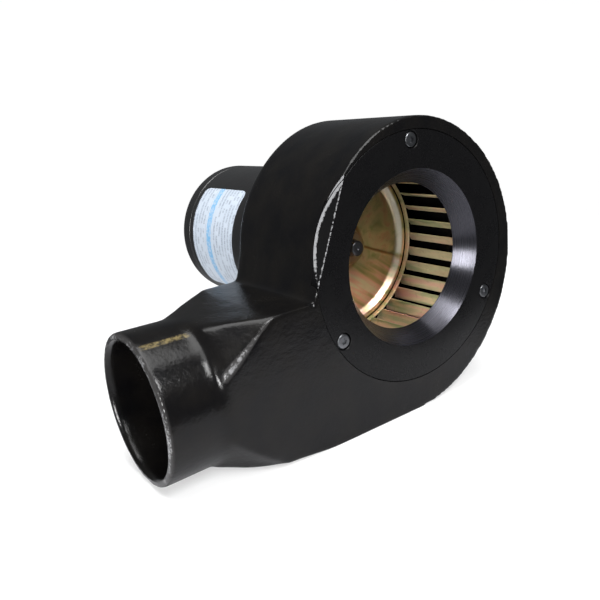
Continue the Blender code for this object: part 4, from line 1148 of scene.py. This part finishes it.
def label():
    """Foil bent round the motor, with rounded corners."""
    first, last = LABEL_ANGLES
    front, rear = low("motor_label").y, high("motor_label").y
    inner = MOTOR_RADIUS + 0.05 * MM
    half_width = (last - first) / 2 * inner
    half_height = (rear - front) / 2
    columns, rows = 90, 24
    points = []
    for column in range(columns + 1):
        across = (2 * column / columns - 1) * half_width
        over = max(abs(across) - (half_width - LABEL_CORNER), 0)
        reach = half_height - (LABEL_CORNER - sqrt(max(LABEL_CORNER ** 2 - over ** 2, 0)))
        angle = (first + last) / 2 + across / inner
        x, z = polar(inner, angle)
        for row in range(rows + 1):
            points.append((x, (front + rear) / 2 + (2 * row / rows - 1) * reach, z))
    faces = []
    for column in range(columns):
        for row in range(rows):
            a = column * (rows + 1) + row
            faces.append((a, a + 1, a + rows + 2, a + rows + 1))
    foil = from_faces("label", points, faces)
    solid = foil.modifiers.new("Thickness", "SOLIDIFY")
    solid.thickness = LABEL_SHEET
    solid.offset = 1
    applied(foil)
    return shade(foil, 40)


# ---------------------------------------------------------------- assembly

def add(piece, paint, body, slot, *nodes):
    """Put a piece on its body in place of CAD nodes; without a paint it keeps its own."""
    if paint:
        give(piece, paint)
    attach(piece, body)
    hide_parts(*nodes)


def build():
    """Make every visible piece and repaint the CAD nodes that stay."""
    zinc = yellow_zinc()
    steel = plain_metal("steel", (0.50, 0.51, 0.54), 0.26)
    screw_zinc = plain_metal("screw_zinc", (0.20, 0.205, 0.215), 0.34)
    enamel = shell_paint()
    add(housing(), None, "housing", "cast_black", "volute_housing")
    add(cover(), None, "housing", "cover_black", "inlet_cover")
    for k, centre in enumerate(screw_places(), 1):
        node = f"cover_screw_{k}"
        head = (SCREW_HEAD, SCREW_HEAD_HEIGHT)
        screw = socket_screw(f"sunk_screw_{k}", centre, low(node).y, high(node).y, head,
                             (1.1 * MM, 0.5 * MM), 1.2 * MM, (64, 6))
        add(screw, screw_zinc, "housing", "zinc_steel", node)
    add(blade_strip(), zinc, "rotor", "yellow_zinc", "wheel_blade_cage")
    add(front_hem(), zinc, "rotor", "yellow_zinc", "wheel_front_hem")
    plate = plate_zinc()
    add(back_plate(), plate, "rotor", "yellow_zinc", "wheel_back_plate")
    add(hub(), plate, "rotor", "yellow_zinc", "wheel_hub")
    add(shaft(), plain_metal("shaft_steel", (0.16, 0.16, 0.17), 0.32), "rotor", "steel", "motor_shaft")
    bell_metal = plain_metal("bell_metal", (0.20, 0.20, 0.21), 0.45, 1.2, 0.9, 0.03)
    add(front_bell(), bell_metal, "housing", "bell_grey", "motor_front_bell")
    add(motor_shell(), enamel, "housing", "paint_black", "motor_shell")
    add(end_cap(), enamel, "housing", "paint_black", "rear_end_cap")
    add(grommet(), rubber(), "housing", "rubber", "cable_grommet")
    for k, angle in enumerate(BOLT_ANGLES, 1):
        node = f"tie_bolt_{k}"
        face = high(node).y
        head = (BOLT_HEAD, face - MOTOR_REAR + BOLT_HEAD_DEPTH)
        bolt = socket_screw(f"bolt_{k}", polar(BOLT_PITCH, angle), face, low(node).y, head,
                            (0.4 * MM, 0.3 * MM), 1.8 * MM, (48, 4))
        add(bolt, screw_zinc, "housing", "zinc_steel", node)
    add(label(), label_foil(), "housing", "label_foil", "motor_label")
    repaint = {
        "yellow_zinc": zinc, "zinc_steel": screw_zinc, "steel": steel, "lamination": lamination(),
        "copper": copper_wire(),
        "aluminium": plain_metal("cast_aluminium", (0.60, 0.61, 0.63), 0.4, 0.8),
        "cage_brass": plain_metal("cage_brass", (0.60, 0.43, 0.17), 0.33),
        "dark_steel": plain_metal("black_oxide", (0.05, 0.05, 0.055), 0.38)}
    for part in frame["record"]["subparts"]:
        paint = repaint.get(part["material_slot"])
        if paint:
            node = frame["nodes"][part["node"]]
            for slot in node.material_slots:
                slot.material = paint


# ---------------------------------------------------------------- studio and camera

def panel(name, place_at, size, power):
    """Soft rectangular light that looks at the blower."""
    light = bpy.data.lights.new(name, "AREA")
    light.shape = "RECTANGLE"
    light.size, light.size_y = size
    light.energy = power
    lamp = place(name, light)
    lamp.location = place_at
    lamp.rotation_euler = (LIGHT_AIM - lamp.location).to_track_quat("-Z", "Y").to_euler()


def faded_disc(name, radius, height, clear, opaque, colour, glow=0.0):
    """Round sheet under the blower that fades out between two distances from its middle."""
    centre = Vector((*SHEET_CENTRE, height))
    points = [centre + Vector((*polar(radius, 2 * pi * k / 96), 0)) for k in range(96)]
    disc = from_faces(name, points, [tuple(range(96))])
    paint = Paint(name, Base_Color=colour, Specular_IOR_Level=0.1, Emission_Color=WHITE,
                  Emission_Strength=glow)
    flat = paint.add("ShaderNodeVectorMath", {"operation": "SUBTRACT"}, i0=paint.place, i1=tuple(centre))
    distance = paint.add("ShaderNodeVectorMath", {"operation": "LENGTH"}, "Value", i0=flat)
    alpha = paint.levels(distance, opaque, clear, 1, 0)
    give(disc, paint.done(Roughness=paint.uneven(40, 0.85, 0.95), Alpha=alpha))
    return disc


def seen_by(obj, **rays):
    """Choose the kinds of ray that meet an object."""
    for ray in ("camera", "diffuse", "glossy", "transmission", "shadow"):
        setattr(obj, f"visible_{ray}", rays.get(ray, False))


def studio():
    """White backdrop and floor, a small pale sheet that only reflections meet, and three lights."""
    floor_z = DUCT_LOW - 0.1 * MM
    floor = faded_disc("floor", 0.60, floor_z, 0.56, 0.24, (0.50, 0.50, 0.50), 0.50)
    seen_by(floor, camera=True, diffuse=True, shadow=True)
    sheet = faded_disc("sheet", 0.34, floor_z + 0.05 * MM, 0.22, 0.13, (0.60, 0.60, 0.62))
    seen_by(sheet, glossy=True)
    dome = turned("backdrop", [(0, -4), (4, -4), (4, 4), (0, 4)], 48)
    glow = Paint("backdrop_glow", Base_Color=(0, 0, 0), Emission_Color=WHITE, Emission_Strength=1.0)
    give(dome, glow.done())
    seen_by(dome, camera=True)
    world = bpy.data.worlds.new("studio")
    world.use_nodes = True
    back = world.node_tree.nodes["Background"]
    back.inputs["Color"].default_value = (0.92, 0.96, 1, 1)
    back.inputs["Strength"].default_value = 0.13
    bpy.context.scene.world = world
    panel("left_window", (-0.80, -0.42, 0.12), (0.20, 0.30), 9)
    panel("front_panel", (-0.07, -0.67, 0.73), (0.34, 0.34), 9)
    panel("top_panel", (-0.1, 0.0, 1.1), (0.9, 0.9), 15)
    bpy.context.scene.view_settings.view_transform = "Standard"


def camera():
    """Camera in front, to the left and a little above, rolled a few degrees."""
    data = bpy.data.cameras.new("camera")
    data.sensor_width = 36
    data.lens = LENS
    data.clip_start = 10 * MM
    cam = place("camera", data)
    look = (CAMERA_AIM - CAMERA_PLACE).to_track_quat("-Z", "Y").to_matrix().to_4x4()
    cam.matrix_world = Matrix.Translation(CAMERA_PLACE) @ look @ Matrix.Rotation(CAMERA_ROLL, 4, "Z")
    bpy.context.scene.camera = cam


build()
studio()
camera()
